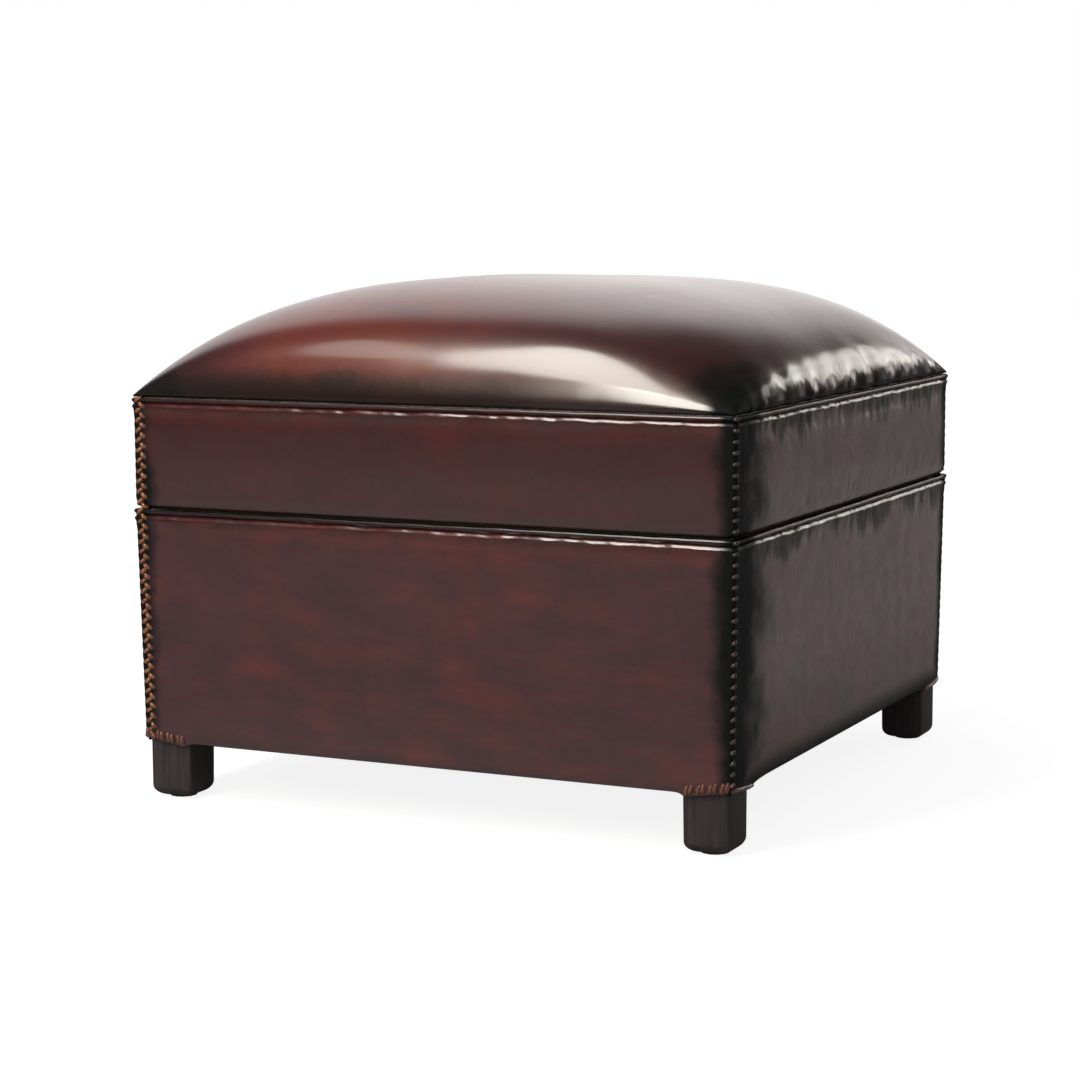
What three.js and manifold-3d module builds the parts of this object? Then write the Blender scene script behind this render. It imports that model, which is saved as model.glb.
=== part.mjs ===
// A square leather footstool: a stuffed and sprung seat with a high crown, a boxed band below it and
// leather side walls, with piping round both seams and whip-stitched corners, on four short wooden legs.
// Millimetres, +Z up, the front faces -Y, and the origin is on the floor under the middle of the stool.
import * as THREE from "three";
import { mergeVertices } from "three/addons/utils/BufferGeometryUtils.js";
import Module from "manifold-3d";

const wasm = await Module();
wasm.setup();

// Driving dimensions
const BODY_WIDTH = 560; // over the piping, left to right
const BODY_DEPTH = 560; // over the piping, front to back
const LEG_REVEAL = 50; // floor to the leather's lower edge
const WALL_HEIGHT = 202; // lower edge to the middle seam
const WALL_TAPER = 3; // how far the walls lean in at their lower edge
const BAND_HEIGHT = 96; // middle seam to the top seam
const CROWN_HEIGHT = 97; // top seam's cover edge to the top of the seat
const CROWN_POWER = 3.2; // how square the crown's outline is
const CROWN_CELLS = 18; // grid cells across the crown
const FIT_GAP = 0.3; // clearance between pieces that rest on each other

// Leather
const LEATHER = 2.4;
const SEAM_SKIVE = 1.4; // how much the leather is thinned where it is sewn
const SKIVE_REACH = 14; // height over which it is thinned
const CORNER_CUT = 3; // width cut off the leather at the corner seams
const FLANGE_REACH = 26; // leather turned in under the base rails
const TAB_DROP = 4; // how far the leather reaches down over each leg
const TAB_LENGTH = 16; // from the leg to where the tab meets the straight edge
const CURVE_STEPS = 5;

// Piping
const PIPING_DIAMETER = 6;
const PIPING_SIDES = 10;
const PIPING_TAIL = 9; // seam allowance, from the cord's centre inwards
const TAIL_THICKNESS = 2;
const PIPING_CORNER = 4; // corner radius at the cord's centre
const CORNER_STEPS = 4;

// Thread
const THREAD_DIAMETER = 2.4;
const THREAD_SIDES = 5;
const STITCH_PITCH = 8.5;
const STITCH_WIDTH = 4.4;
const FOOT_THREAD_DIAMETER = 2.6;
const FOOT_STITCH_PITCH = 11;
const FOOT_STITCH_HEIGHT = 9;

// Legs and glides
const LEG_SIZE = 43;
const LEG_TAPER = 3.5; // drawn in on the two inner faces at the floor
const LEG_EDGE = 6; // rounding of the lower edges
const GLIDE_DIAMETER = 24;
const GLIDE_THICKNESS = 2.5;
const NAIL_DIAMETER = 3;
const NAIL_LENGTH = 14;
const ROUND_STEPS = 12;

// Frame
const BOARD = 6;
const SEAT_RAIL_THICKNESS = 28;
const SEAT_RAIL_HEIGHT = 55;
const BASE_RAIL_THICKNESS = 22;
const BASE_RAIL_HEIGHT = 50;
const TENON_THICKNESS = 9;
const TENON_SHOULDER = 8; // rail left above and below the tenon
const TENON_SPACING = 1.2; // wood left between two tenons in one leg
const BLOCK_REACH = 48; // along each rail from the leg
const BLOCK_HEIGHT = 38;

// Sprung seat
const WEB_WIDTH = 50;
const WEB_THICKNESS = 1.6;
const WEB_LAP = 16; // webbing on the rail
const SPRING_EDGE = 90; // rail's inner face to the centre of the nearest spring
const SPRINGS_ACROSS = 3;
const SPRING_END_RADIUS = 38;
const SPRING_WAIST_RADIUS = 27;
const SPRING_WIRE = 4;
const SPRING_TURNS = 4.5;
const STEPS_PER_TURN = 8;
const WIRE_SIDES = 5;
const PLATFORM_DROP = 13; // top seam to the top of the hessian
const PLATFORM_MARGIN = 12; // hessian beyond the springs
const TWINE = 2.4;
const TWINE_SIDES = 4;
const TWINE_INSET = 4; // inside the hessian's slope
const HESSIAN = 1.2;
const WADDING = 8;

// Dust cover
const DUST_COVER = 1;
const DUST_INSET = 12;

// Planes of the side walls, as half sizes from the middle, and levels above the floor
const pipingRadius = PIPING_DIAMETER / 2;
const face = { x: BODY_WIDTH / 2 - pipingRadius, y: BODY_DEPTH / 2 - pipingRadius };
const inward = (half, by) => ({ x: half.x - by, y: half.y - by });
const leatherBack = inward(face, LEATHER);
const cordInset = PIPING_CORNER - Math.max(PIPING_CORNER - pipingRadius, 0) * Math.SQRT1_2;
const padFace = inward(face, Math.max(LEATHER, cordInset) + FIT_GAP);
const legFace = inward(padFace, WALL_TAPER);
const legInner = inward(legFace, LEG_SIZE);
const railFace = inward(legFace, BOARD + FIT_GAP);
const seatRailBack = inward(railFace, SEAT_RAIL_THICKNESS);
const midSeamZ = LEG_REVEAL + WALL_HEIGHT;
const topSeamZ = midSeamZ + BAND_HEIGHT;
const frameTopZ = midSeamZ - TAIL_THICKNESS / 2 - FIT_GAP;
const baseRailZ = LEG_REVEAL + LEATHER + FIT_GAP;
const seatRailZ = frameTopZ - SEAT_RAIL_HEIGHT;
const coverRimZ = topSeamZ + pipingRadius + FIT_GAP;
const tailTopZ = topSeamZ + TAIL_THICKNESS / 2;
const platformZ = topSeamZ - PLATFORM_DROP;
const lean = (z) => WALL_TAPER * Math.max(0, (midSeamZ - z) / WALL_HEIGHT);

// Materials
const finish = (color, roughness, metalness = 0) =>
  new THREE.MeshStandardMaterial({ color, roughness, metalness });
const coverLeather = finish(0x4a1c17, 0.28);
const wallLeather = finish(0x451f1d, 0.36);
const pipingLeather = finish(0x33191a, 0.34);
const threadFinish = finish(0x8a4a2c, 0.6);
const legWood = finish(0x2a1c19, 0.45);
const beech = finish(0xc49a6c, 0.7);
const boardFinish = finish(0x9a7a55, 0.8);
const jute = finish(0xb08d57, 0.9);
const steel = finish(0x8f9296, 0.35, 0.9);
const twineFinish = finish(0xc8b48a, 0.9);
const hessianFinish = finish(0xa58a5e, 0.95);
const hair = finish(0x2d2622, 0.95);
const cotton = finish(0xe6e0d2, 0.95);
const cambric = finish(0x17171a, 0.9);
const nylon = finish(0x3a3431, 0.5);

// Closed meshes to solids and back, for cuts and joins
function solidOf(geometry) {
  const bare = geometry.index ? geometry.toNonIndexed() : geometry.clone();
  bare.deleteAttribute("normal");
  bare.deleteAttribute("uv");
  const merged = mergeVertices(bare);
  return new wasm.Manifold(
    new wasm.Mesh({
      numProp: 3,
      vertProperties: merged.attributes.position.array,
      triVerts: new Uint32Array(merged.index.array),
    }),
  );
}

function geometryOf(solid) {
  const mesh = solid.getMesh();
  const geometry = new THREE.BufferGeometry();
  geometry.setAttribute("position", new THREE.BufferAttribute(mesh.vertProperties, 3));
  geometry.setIndex(new THREE.BufferAttribute(mesh.triVerts, 1));
  return geometry;
}

const joined = (first, ...rest) =>
  geometryOf(rest.reduce((sum, part) => sum.add(solidOf(part)), solidOf(first)));
const cut = (first, ...rest) =>
  geometryOf(rest.reduce((left, part) => left.subtract(solidOf(part)), solidOf(first)));

// Basic closed shapes
function box(x, y, z) {
  const size = [x[1] - x[0], y[1] - y[0], z[1] - z[0]];
  const geometry = new THREE.BoxGeometry(...size);
  return geometry.translate((x[0] + x[1]) / 2, (y[0] + y[1]) / 2, (z[0] + z[1]) / 2);
}

// Stacks outlines of the same number of points, each { z, points }, counter-clockwise from above.
function loft(levels) {
  const count = levels[0].points.length;
  const position = levels.flatMap(({ z, points }) => points.flatMap(([x, y]) => [x, y, z]));
  const index = [];
  for (let level = 0; level + 1 < levels.length; level++) {
    for (let i = 0; i < count; i++) {
      const a = level * count + i;
      const b = level * count + ((i + 1) % count);
      index.push(a, b, b + count, a, b + count, a + count);
    }
  }
  const outline = levels[0].points.map(([x, y]) => new THREE.Vector2(x, y));
  const top = (levels.length - 1) * count;
  for (const [a, b, c] of THREE.ShapeUtils.triangulateShape(outline, [])) {
    index.push(c, b, a, top + a, top + b, top + c);
  }
  const geometry = new THREE.BufferGeometry();
  geometry.setAttribute("position", new THREE.Float32BufferAttribute(position, 3));
  return geometry.setIndex(index);
}

function prism(points, z) {
  return loft(z.map((level) => ({ z: level, points })));
}

const rectangle = (half) => [
  [-half.x, -half.y],
  [half.x, -half.y],
  [half.x, half.y],
  [-half.x, half.y],
];

// A route of straight stretches whose steps land on its points
class Route extends THREE.Curve {
  constructor(points) {
    super();
    this.points = points;
  }

  getPoint(t, target = new THREE.Vector3()) {
    const place = t * (this.points.length - 1);
    const first = Math.min(Math.floor(place), this.points.length - 2);
    return target.lerpVectors(this.points[first], this.points[first + 1], place - first);
  }

  getPointAt(t, target) {
    return this.getPoint(t, target);
  }

  getTangentAt(t, target) {
    return this.getTangent(t, target);
  }
}

function tube(points, diameter, sides) {
  const section = [...Array(sides).keys()].map((i) => {
    const angle = (2 * Math.PI * i) / sides;
    return new THREE.Vector2(Math.cos(angle), Math.sin(angle)).multiplyScalar(diameter / 2);
  });
  return new THREE.ExtrudeGeometry(new THREE.Shape(section), {
    steps: points.length - 1,
    extrudePath: new Route(points),
    bevelEnabled: false,
  });
}

// The crown's surface height above its rim, at shares u and v of the half sizes
const crownShare = (u, v) =>
  Math.sqrt((1 - Math.abs(u) ** CROWN_POWER) * (1 - Math.abs(v) ** CROWN_POWER));
const gridShare = (i) => Math.sin((Math.PI / 2) * ((2 * i) / CROWN_CELLS - 1));

function crownSurface(half, rimZ, height, position, index, outside) {
  const first = position.length / 3;
  const row = CROWN_CELLS + 1;
  for (let j = 0; j < row; j++) {
    for (let i = 0; i < row; i++) {
      const u = gridShare(i);
      const v = gridShare(j);
      position.push(half.x * u, half.y * v, rimZ + height * crownShare(u, v));
    }
  }
  for (let j = 0; j < CROWN_CELLS; j++) {
    for (let i = 0; i < CROWN_CELLS; i++) {
      const a = first + j * row + i;
      const faces = [a, a + 1, a + row + 1, a, a + row + 1, a + row];
      index.push(...(outside ? faces : faces.reverse()));
    }
  }
  return first;
}

// The grid's border, counter-clockwise from above
function crownBorder(first) {
  const row = CROWN_CELLS + 1;
  const steps = [...Array(CROWN_CELLS).keys()];
  return [
    ...steps.map((i) => first + i),
    ...steps.map((i) => first + CROWN_CELLS + i * row),
    ...steps.map((i) => first + CROWN_CELLS * row + CROWN_CELLS - i),
    ...steps.map((i) => first + (CROWN_CELLS - i) * row),
  ];
}

function crownGeometry(position, index) {
  const geometry = new THREE.BufferGeometry();
  geometry.setAttribute("position", new THREE.Float32BufferAttribute(position, 3));
  return geometry.setIndex(index);
}

function crownShell(half, rimZ, height, wall) {
  const position = [];
  const index = [];
  const outer = crownBorder(crownSurface(half, rimZ, height, position, index, true));
  const inner = crownBorder(
    crownSurface(inward(half, wall), rimZ, height - wall, position, index, false),
  );
  outer.forEach((a, i) => {
    const next = (i + 1) % outer.length;
    index.push(a, inner[next], outer[next], a, inner[i], inner[next]);
  });
  return crownGeometry(position, index);
}

function crownSolid(half, rimZ, height, floorZ) {
  const position = [];
  const index = [];
  const rim = crownBorder(crownSurface(half, rimZ, height, position, index, true));
  const corner = position.length / 3;
  const foot = rim.map((_, i) => corner + i);
  rim.forEach((a) => position.push(position[3 * a], position[3 * a + 1], floorZ));
  const middle = position.length / 3;
  position.push(0, 0, floorZ);
  rim.forEach((a, i) => {
    const next = (i + 1) % rim.length;
    index.push(a, foot[next], rim[next], a, foot[i], foot[next]);
    index.push(middle, foot[next], foot[i]);
  });
  return crownGeometry(position, index);
}

// Sweeps a section of [distance out from the face, height] points round the stool.
function ringSweep(section, half, z) {
  const position = [];
  const index = [];
  const quarter = Math.PI / 2;
  const corners = [
    [1, 1],
    [-1, 1],
    [-1, -1],
    [1, -1],
  ];
  const stations = [];
  corners.forEach(([sx, sy], corner) => {
    for (let step = 0; step <= CORNER_STEPS; step++) {
      stations.push({ sx, sy, angle: quarter * (corner + step / CORNER_STEPS) });
    }
  });
  for (const { sx, sy, angle } of stations) {
    for (const [out, up] of section) {
      const radius = Math.max(PIPING_CORNER + out, FIT_GAP);
      const x = sx * (half.x + out - radius) + radius * Math.cos(angle);
      const y = sy * (half.y + out - radius) + radius * Math.sin(angle);
      position.push(x, y, z + up);
    }
  }
  const count = section.length;
  stations.forEach((_, s) => {
    const from = s * count;
    const to = ((s + 1) % stations.length) * count;
    for (let i = 0; i < count; i++) {
      const next = (i + 1) % count;
      index.push(from + i, to + next, from + next, from + i, to + i, to + next);
    }
  });
  const geometry = new THREE.BufferGeometry();
  geometry.setAttribute("position", new THREE.Float32BufferAttribute(position, 3));
  return geometry.setIndex(index);
}

// Naming and placing
const stool = new THREE.Group();
const SIDES = [
  { name: "front", turn: 0, along: "x", out: "y" },
  { name: "right", turn: Math.PI / 2, along: "y", out: "x" },
  { name: "back", turn: Math.PI, along: "x", out: "y" },
  { name: "left", turn: -Math.PI / 2, along: "y", out: "x" },
];
const CORNERS = [
  { name: "front_right", sx: 1, sy: -1, turn: -Math.PI / 2 },
  { name: "back_right", sx: 1, sy: 1, turn: 0 },
  { name: "back_left", sx: -1, sy: 1, turn: Math.PI / 2 },
  { name: "front_left", sx: -1, sy: -1, turn: Math.PI },
];

function place(name, geometry, material, parent = stool) {
  const mesh = new THREE.Mesh(geometry, material);
  mesh.name = name;
  parent.add(mesh);
  return mesh;
}

// Makes one piece per side. The maker draws it for the front, with the side's own half length and depth.
function onEachSide(prefix, material, maker) {
  for (const side of SIDES) {
    const group = new THREE.Group();
    group.rotation.z = side.turn;
    stool.add(group);
    place(prefix + "_" + side.name, maker(side), material, group);
  }
}

// Makes one piece per corner. The maker draws it with x and y measured from that corner of the given
// half sizes, outwards positive, for the back right corner, and each quarter turn carries it round.
function onEachCorner(prefix, material, half, maker) {
  for (const corner of CORNERS) {
    const group = new THREE.Group();
    group.position.set(corner.sx * half.x, corner.sy * half.y, 0);
    group.rotation.z = corner.turn;
    stool.add(group);
    place(prefix + "_" + corner.name, maker(), material, group);
  }
}

// Leather walls. The front and back ones are cut at 45 degrees over the ends of the other two.
function wallOutline(side, z, thickness) {
  const back = leatherBack[side.out] - lean(z);
  const wraps = side.along === "x";
  const outerEnd = face[side.along] - CORNER_CUT - lean(z);
  const innerEnd = wraps ? outerEnd + thickness : leatherBack[side.along] - FIT_GAP - lean(z);
  return [
    [-outerEnd, -back - thickness],
    [outerEnd, -back - thickness],
    [innerEnd, -back],
    [-innerEnd, -back],
  ];
}

function wall(side, bottomZ, topZ, sewnBelow) {
  const levels = [];
  const level = (z, thinning) => {
    levels.push({ z, points: wallOutline(side, z, LEATHER - SEAM_SKIVE * thinning ** 2) });
  };
  for (let i = sewnBelow ? 0 : CURVE_STEPS; i <= CURVE_STEPS; i++) {
    const share = i / CURVE_STEPS;
    level(bottomZ + (sewnBelow ? SKIVE_REACH * share : 0), 1 - share);
  }
  for (let i = 0; i <= CURVE_STEPS; i++) {
    const share = i / CURVE_STEPS;
    level(topZ - SKIVE_REACH * (1 - share), share);
  }
  return loft(levels);
}

// The tab over a leg, from the corner inwards: full drop on the leg, then a hollow curve up to the edge
function legTab(side, hand) {
  const end = face[side.along] - CORNER_CUT - WALL_TAPER;
  const out = leatherBack[side.out] - WALL_TAPER;
  const shape = new THREE.Shape();
  const legEdge = legInner[side.along];
  shape.moveTo(hand * end, LEG_REVEAL + LEATHER);
  shape.lineTo(hand * end, LEG_REVEAL - TAB_DROP);
  shape.lineTo(hand * legEdge, LEG_REVEAL - TAB_DROP);
  for (let i = 1; i <= CURVE_STEPS; i++) {
    const angle = (Math.PI / 2) * (i / CURVE_STEPS);
    const back = TAB_LENGTH * (1 - Math.cos(angle));
    shape.lineTo(hand * (legEdge - back), LEG_REVEAL - TAB_DROP * (1 - Math.sin(angle)));
  }
  shape.lineTo(hand * (legEdge - TAB_LENGTH), LEG_REVEAL + LEATHER);
  const tab = new THREE.ExtrudeGeometry(shape, { depth: LEATHER, bevelEnabled: false });
  return tab.rotateX(Math.PI / 2).translate(0, -out, 0);
}

function flange(side) {
  const half = legInner[side.along] - FIT_GAP;
  const out = face[side.out] - WALL_TAPER - SEAM_SKIVE;
  return box([-half, half], [-out, FLANGE_REACH - out], [LEG_REVEAL, LEG_REVEAL + LEATHER]);
}

const bandBottomZ = midSeamZ + pipingRadius + FIT_GAP;
const bandTopZ = topSeamZ - pipingRadius - FIT_GAP;
const wallTopZ = midSeamZ - pipingRadius - FIT_GAP;
onEachSide("band", wallLeather, (side) => wall(side, bandBottomZ, bandTopZ, true));
onEachSide("side_wall", wallLeather, (side) =>
  joined(
    wall(side, LEG_REVEAL, wallTopZ, false),
    legTab(side, 1),
    legTab(side, -1),
    flange(side),
  ),
);

// Top cover and piping
place("top_cover", crownShell(face, coverRimZ, CROWN_HEIGHT, LEATHER), coverLeather);

function pipingSection() {
  const section = [];
  const tailAngle = Math.asin(TAIL_THICKNESS / PIPING_DIAMETER);
  const sweep = 2 * (Math.PI - tailAngle);
  for (let i = 0; i <= PIPING_SIDES; i++) {
    const angle = -Math.PI + tailAngle + (sweep * i) / PIPING_SIDES;
    section.push([pipingRadius * Math.cos(angle), pipingRadius * Math.sin(angle)]);
  }
  section.push([-PIPING_TAIL, TAIL_THICKNESS / 2], [-PIPING_TAIL, -TAIL_THICKNESS / 2]);
  return section;
}
place("top_piping", ringSweep(pipingSection(), face, topSeamZ), pipingLeather);
place("middle_piping", ringSweep(pipingSection(), face, midSeamZ), pipingLeather);

// Whip stitching down each corner, drawn along x = outwards at 45 degrees, y = across the seam
const threadRadius = THREAD_DIAMETER / 2;
const diagonal = Math.SQRT1_2;
const seamOut = FIT_GAP + threadRadius - CORNER_CUT * diagonal;
const pipingOut = FIT_GAP + threadRadius + pipingRadius + PIPING_CORNER * (1 - Math.SQRT2);
const footStitchZ = LEG_REVEAL - TAB_DROP + FOOT_STITCH_HEIGHT / 2;

function cornerThread() {
  const topZ = bandTopZ - threadRadius;
  const bottomZ = footStitchZ + FOOT_STITCH_HEIGHT / 2 + FOOT_THREAD_DIAMETER + threadRadius;
  const half = Math.floor((topZ - bottomZ) / (STITCH_PITCH / 2));
  const points = [];
  for (let i = 0; i <= half; i++) {
    const z = topZ - (i * STITCH_PITCH) / 2;
    const overPiping = Math.abs(z - midSeamZ) < pipingRadius + threadRadius + FIT_GAP;
    const out = overPiping ? pipingOut : seamOut - lean(z) * Math.SQRT2;
    const across = ((i % 2) - 1 / 2) * STITCH_WIDTH;
    points.push(new THREE.Vector3(out, across, z));
  }
  return tube(points, THREAD_DIAMETER, THREAD_SIDES).rotateZ(Math.PI / 4);
}
onEachCorner("corner_thread", threadFinish, face, cornerThread);

// Whip stitching that holds the leather's tab to the leg, along both outer faces and round the corner
function footThread() {
  const out = FIT_GAP + FOOT_THREAD_DIAMETER / 2;
  const nearCorner = CORNER_CUT / 2;
  const length = LEG_SIZE - nearCorner;
  const count = Math.max(1, Math.floor(length / (FOOT_STITCH_PITCH / 2)));
  const places = [...Array(count + 1).keys()].map((i) => nearCorner + (length * i) / count);
  const swing = (i) => footStitchZ + ((i % 2) - 1 / 2) * FOOT_STITCH_HEIGHT;
  const first = places.map((back, i) => new THREE.Vector3(out, -back, swing(i))).reverse();
  const second = places.map((back, i) => new THREE.Vector3(-back, out, swing(i + 1)));
  return tube([...first, ...second], FOOT_THREAD_DIAMETER, THREAD_SIDES);
}
onEachCorner("foot_thread", threadFinish, inward(face, WALL_TAPER), footThread);

// Legs, mortised for the rails and drilled for the glides' nails
const footZ = GLIDE_THICKNESS + FIT_GAP;
const railMiddle = (thickness) => BOARD + FIT_GAP + thickness / 2; // inwards from the leg's outer face
const tenonLength = (thickness) =>
  LEG_SIZE - railMiddle(thickness) - TENON_THICKNESS / 2 - TENON_SPACING;

function legOutline(edge, taper) {
  return [
    [-LEG_SIZE + taper + edge, -LEG_SIZE + taper + edge],
    [-edge, -LEG_SIZE + taper + edge],
    [-edge, -edge],
    [-LEG_SIZE + taper + edge, -edge],
  ];
}

function mortises(thickness, z) {
  const middle = -railMiddle(thickness);
  const half = TENON_THICKNESS / 2 + FIT_GAP;
  const depth = -LEG_SIZE + tenonLength(thickness) + FIT_GAP;
  const across = [middle - half, middle + half];
  const into = [-LEG_SIZE - FIT_GAP, depth];
  const height = [z[0] + TENON_SHOULDER - FIT_GAP, z[1] - TENON_SHOULDER + FIT_GAP];
  return [box(into, across, height), box(across, into, height)];
}

const baseRailSpan = [baseRailZ, baseRailZ + BASE_RAIL_HEIGHT];
const seatRailSpan = [seatRailZ, frameTopZ];

function leg() {
  const levels = [];
  const rise = LEG_REVEAL - footZ;
  for (let i = 0; i <= CURVE_STEPS; i++) {
    const angle = (Math.PI / 2) * (i / CURVE_STEPS);
    const up = LEG_EDGE * (1 - Math.cos(angle));
    const edge = LEG_EDGE * (1 - Math.sin(angle));
    levels.push({ z: footZ + up, points: legOutline(edge, LEG_TAPER * (1 - up / rise)) });
  }
  levels.push({ z: LEG_REVEAL, points: legOutline(0, 0) });
  levels.push({ z: frameTopZ, points: legOutline(0, 0) });
  const nail = new THREE.CylinderGeometry(
    NAIL_DIAMETER / 2 + FIT_GAP,
    NAIL_DIAMETER / 2 + FIT_GAP,
    2 * (NAIL_LENGTH + FIT_GAP),
    ROUND_STEPS,
  );
  nail.rotateX(Math.PI / 2).translate(glidePlace, glidePlace, footZ);
  const holes = [
    ...mortises(BASE_RAIL_THICKNESS, baseRailSpan),
    ...mortises(SEAT_RAIL_THICKNESS, seatRailSpan),
    nail,
  ];
  return cut(loft(levels), ...holes);
}
const glidePlace = (LEG_TAPER - LEG_SIZE) / 2;
onEachCorner("leg", legWood, legFace, leg);

function glide() {
  const profile = [
    new THREE.Vector2(0, 0),
    new THREE.Vector2(GLIDE_DIAMETER / 2, 0),
    new THREE.Vector2(GLIDE_DIAMETER / 2, GLIDE_THICKNESS),
    new THREE.Vector2(NAIL_DIAMETER / 2, GLIDE_THICKNESS),
    new THREE.Vector2(NAIL_DIAMETER / 2, GLIDE_THICKNESS + NAIL_LENGTH),
    new THREE.Vector2(0, GLIDE_THICKNESS + NAIL_LENGTH),
  ];
  const disc = new THREE.LatheGeometry(profile, ROUND_STEPS);
  return disc.rotateX(Math.PI / 2).translate(glidePlace, glidePlace, 0);
}
onEachCorner("glide", nylon, legFace, glide);

// Rails with tenons, boards between the legs, and corner blocks
function rail(side, thickness, z) {
  const shoulder = legInner[side.along] - FIT_GAP;
  const out = -railFace[side.out];
  const tip = legInner[side.along] + tenonLength(thickness);
  const middle = out + thickness / 2;
  const across = [middle - TENON_THICKNESS / 2, middle + TENON_THICKNESS / 2];
  const height = [z[0] + TENON_SHOULDER, z[1] - TENON_SHOULDER];
  return joined(
    box([-shoulder, shoulder], [out, out + thickness], z),
    box([-tip, tip], across, height),
  );
}
onEachSide("base_rail", beech, (side) => rail(side, BASE_RAIL_THICKNESS, baseRailSpan));
onEachSide("seat_rail", beech, (side) => rail(side, SEAT_RAIL_THICKNESS, seatRailSpan));
onEachSide("side_board", boardFinish, (side) => {
  const half = legInner[side.along] - FIT_GAP;
  const out = -legFace[side.out];
  return box([-half, half], [out, out + BOARD], [baseRailZ, frameTopZ]);
});

// x and y from the seat rails' inner faces, with the leg's corner cut out of it
function cornerBlock() {
  const legCorner = seatRailBack.x - legInner.x + FIT_GAP;
  const points = [
    [-FIT_GAP, -legCorner - BLOCK_REACH],
    [-FIT_GAP, -legCorner],
    [-legCorner, -legCorner],
    [-legCorner, -FIT_GAP],
    [-legCorner - BLOCK_REACH, -FIT_GAP],
  ];
  const top = frameTopZ - (SEAT_RAIL_HEIGHT - BLOCK_HEIGHT) / 2;
  return prism(points, [top - BLOCK_HEIGHT, top]);
}
onEachCorner("corner_block", beech, seatRailBack, cornerBlock);

// Webbing under the seat rails, with a strap under each row of springs and one between rows
const springHalf = inward(seatRailBack, SPRING_EDGE);
const rowPlaces = (half, count) => [...Array(count).keys()].map((i) => half * ((2 * i) / (count - 1) - 1));
const strapCount = 2 * SPRINGS_ACROSS - 1;
const webTopZ = seatRailZ - FIT_GAP;

function webbing() {
  const reach = inward(seatRailBack, -WEB_LAP);
  const lowZ = webTopZ - 2 * WEB_THICKNESS;
  const overlap = WEB_THICKNESS / 2;
  const straps = [];
  for (const y of rowPlaces(springHalf.y, strapCount)) {
    const width = [y - WEB_WIDTH / 2, y + WEB_WIDTH / 2];
    straps.push(box([-reach.x, reach.x], width, [lowZ + overlap, webTopZ]));
  }
  for (const x of rowPlaces(springHalf.x, strapCount)) {
    const width = [x - WEB_WIDTH / 2, x + WEB_WIDTH / 2];
    straps.push(box(width, [-reach.y, reach.y], [lowZ, webTopZ - overlap]));
  }
  return joined(...straps);
}
place("webbing", webbing(), jute);

// Waisted coil springs, tied down by twine under a hessian platform
const twineZ = platformZ - HESSIAN - FIT_GAP - TWINE / 2;
const springTopZ = twineZ - TWINE / 2 - FIT_GAP - SPRING_WIRE / 2;
const springFootZ = webTopZ + FIT_GAP + SPRING_WIRE / 2;

function spring() {
  const steps = SPRING_TURNS * STEPS_PER_TURN;
  const points = [];
  for (let i = 0; i <= steps; i++) {
    const share = i / steps;
    const swell = (2 * share - 1) ** 2;
    const radius = SPRING_WAIST_RADIUS + (SPRING_END_RADIUS - SPRING_WAIST_RADIUS) * swell;
    const angle = 2 * Math.PI * SPRING_TURNS * share;
    const z = springFootZ + (springTopZ - springFootZ) * share;
    points.push(new THREE.Vector3(radius * Math.cos(angle), radius * Math.sin(angle), z));
  }
  return tube(points, SPRING_WIRE, WIRE_SIDES);
}
rowPlaces(springHalf.y, SPRINGS_ACROSS).forEach((y, row) => {
  rowPlaces(springHalf.x, SPRINGS_ACROSS).forEach((x, column) => {
    const number = row * SPRINGS_ACROSS + column + 1;
    place("seat_spring_" + number, spring(), steel).position.set(x, y, 0);
  });
});

// The platform slopes up from the middle of the seat rails to a flat top over the springs.
const platformFoot = inward(railFace, SEAT_RAIL_THICKNESS / 2);
const platformTop = inward(springHalf, -SPRING_END_RADIUS - PLATFORM_MARGIN);
const platformFootZ = frameTopZ + FIT_GAP;
const frustum = (by, footZ, topZ) =>
  loft([
    { z: footZ, points: rectangle(inward(platformFoot, by)) },
    { z: topZ, points: rectangle(inward(platformTop, by)) },
  ]);

function twineLine(along, row) {
  const foot = inward(platformFoot, TWINE_INSET)[along];
  const top = inward(platformTop, TWINE_INSET)[along];
  const footHeight = platformFootZ + TWINE / 2;
  const line = [
    [-foot, footHeight],
    [-top, twineZ],
    [top, twineZ],
    [foot, footHeight],
  ];
  const points = line.map(([reach, z]) =>
    along === "x" ? new THREE.Vector3(reach, row, z) : new THREE.Vector3(row, reach, z),
  );
  return tube(points, TWINE, TWINE_SIDES);
}
place(
  "spring_twine",
  joined(
    ...rowPlaces(springHalf.y, SPRINGS_ACROSS).map((row) => twineLine("x", row)),
    ...rowPlaces(springHalf.x, SPRINGS_ACROSS).map((row) => twineLine("y", row)),
  ),
  twineFinish,
);
place(
  "hessian",
  cut(
    frustum(0, platformFootZ, platformZ),
    frustum(HESSIAN, platformFootZ, platformZ - HESSIAN),
    box(
      [-inward(platformFoot, HESSIAN).x, inward(platformFoot, HESSIAN).x],
      [-inward(platformFoot, HESSIAN).y, inward(platformFoot, HESSIAN).y],
      [platformFootZ - FIT_GAP, platformFootZ],
    ),
  ),
  hessianFinish,
);

// Stuffing inside the band and the crown, hollow over the platform, with wadding over its crown
const stuffingFootZ = midSeamZ + TAIL_THICKNESS / 2 + FIT_GAP;
const innerRimZ = tailTopZ + FIT_GAP;
const innerCrown = coverRimZ + CROWN_HEIGHT - LEATHER - FIT_GAP - innerRimZ;
const stuffingHalf = inward(padFace, WADDING + FIT_GAP);
const shoulderZ = topSeamZ - TAIL_THICKNESS / 2 - FIT_GAP;

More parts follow.
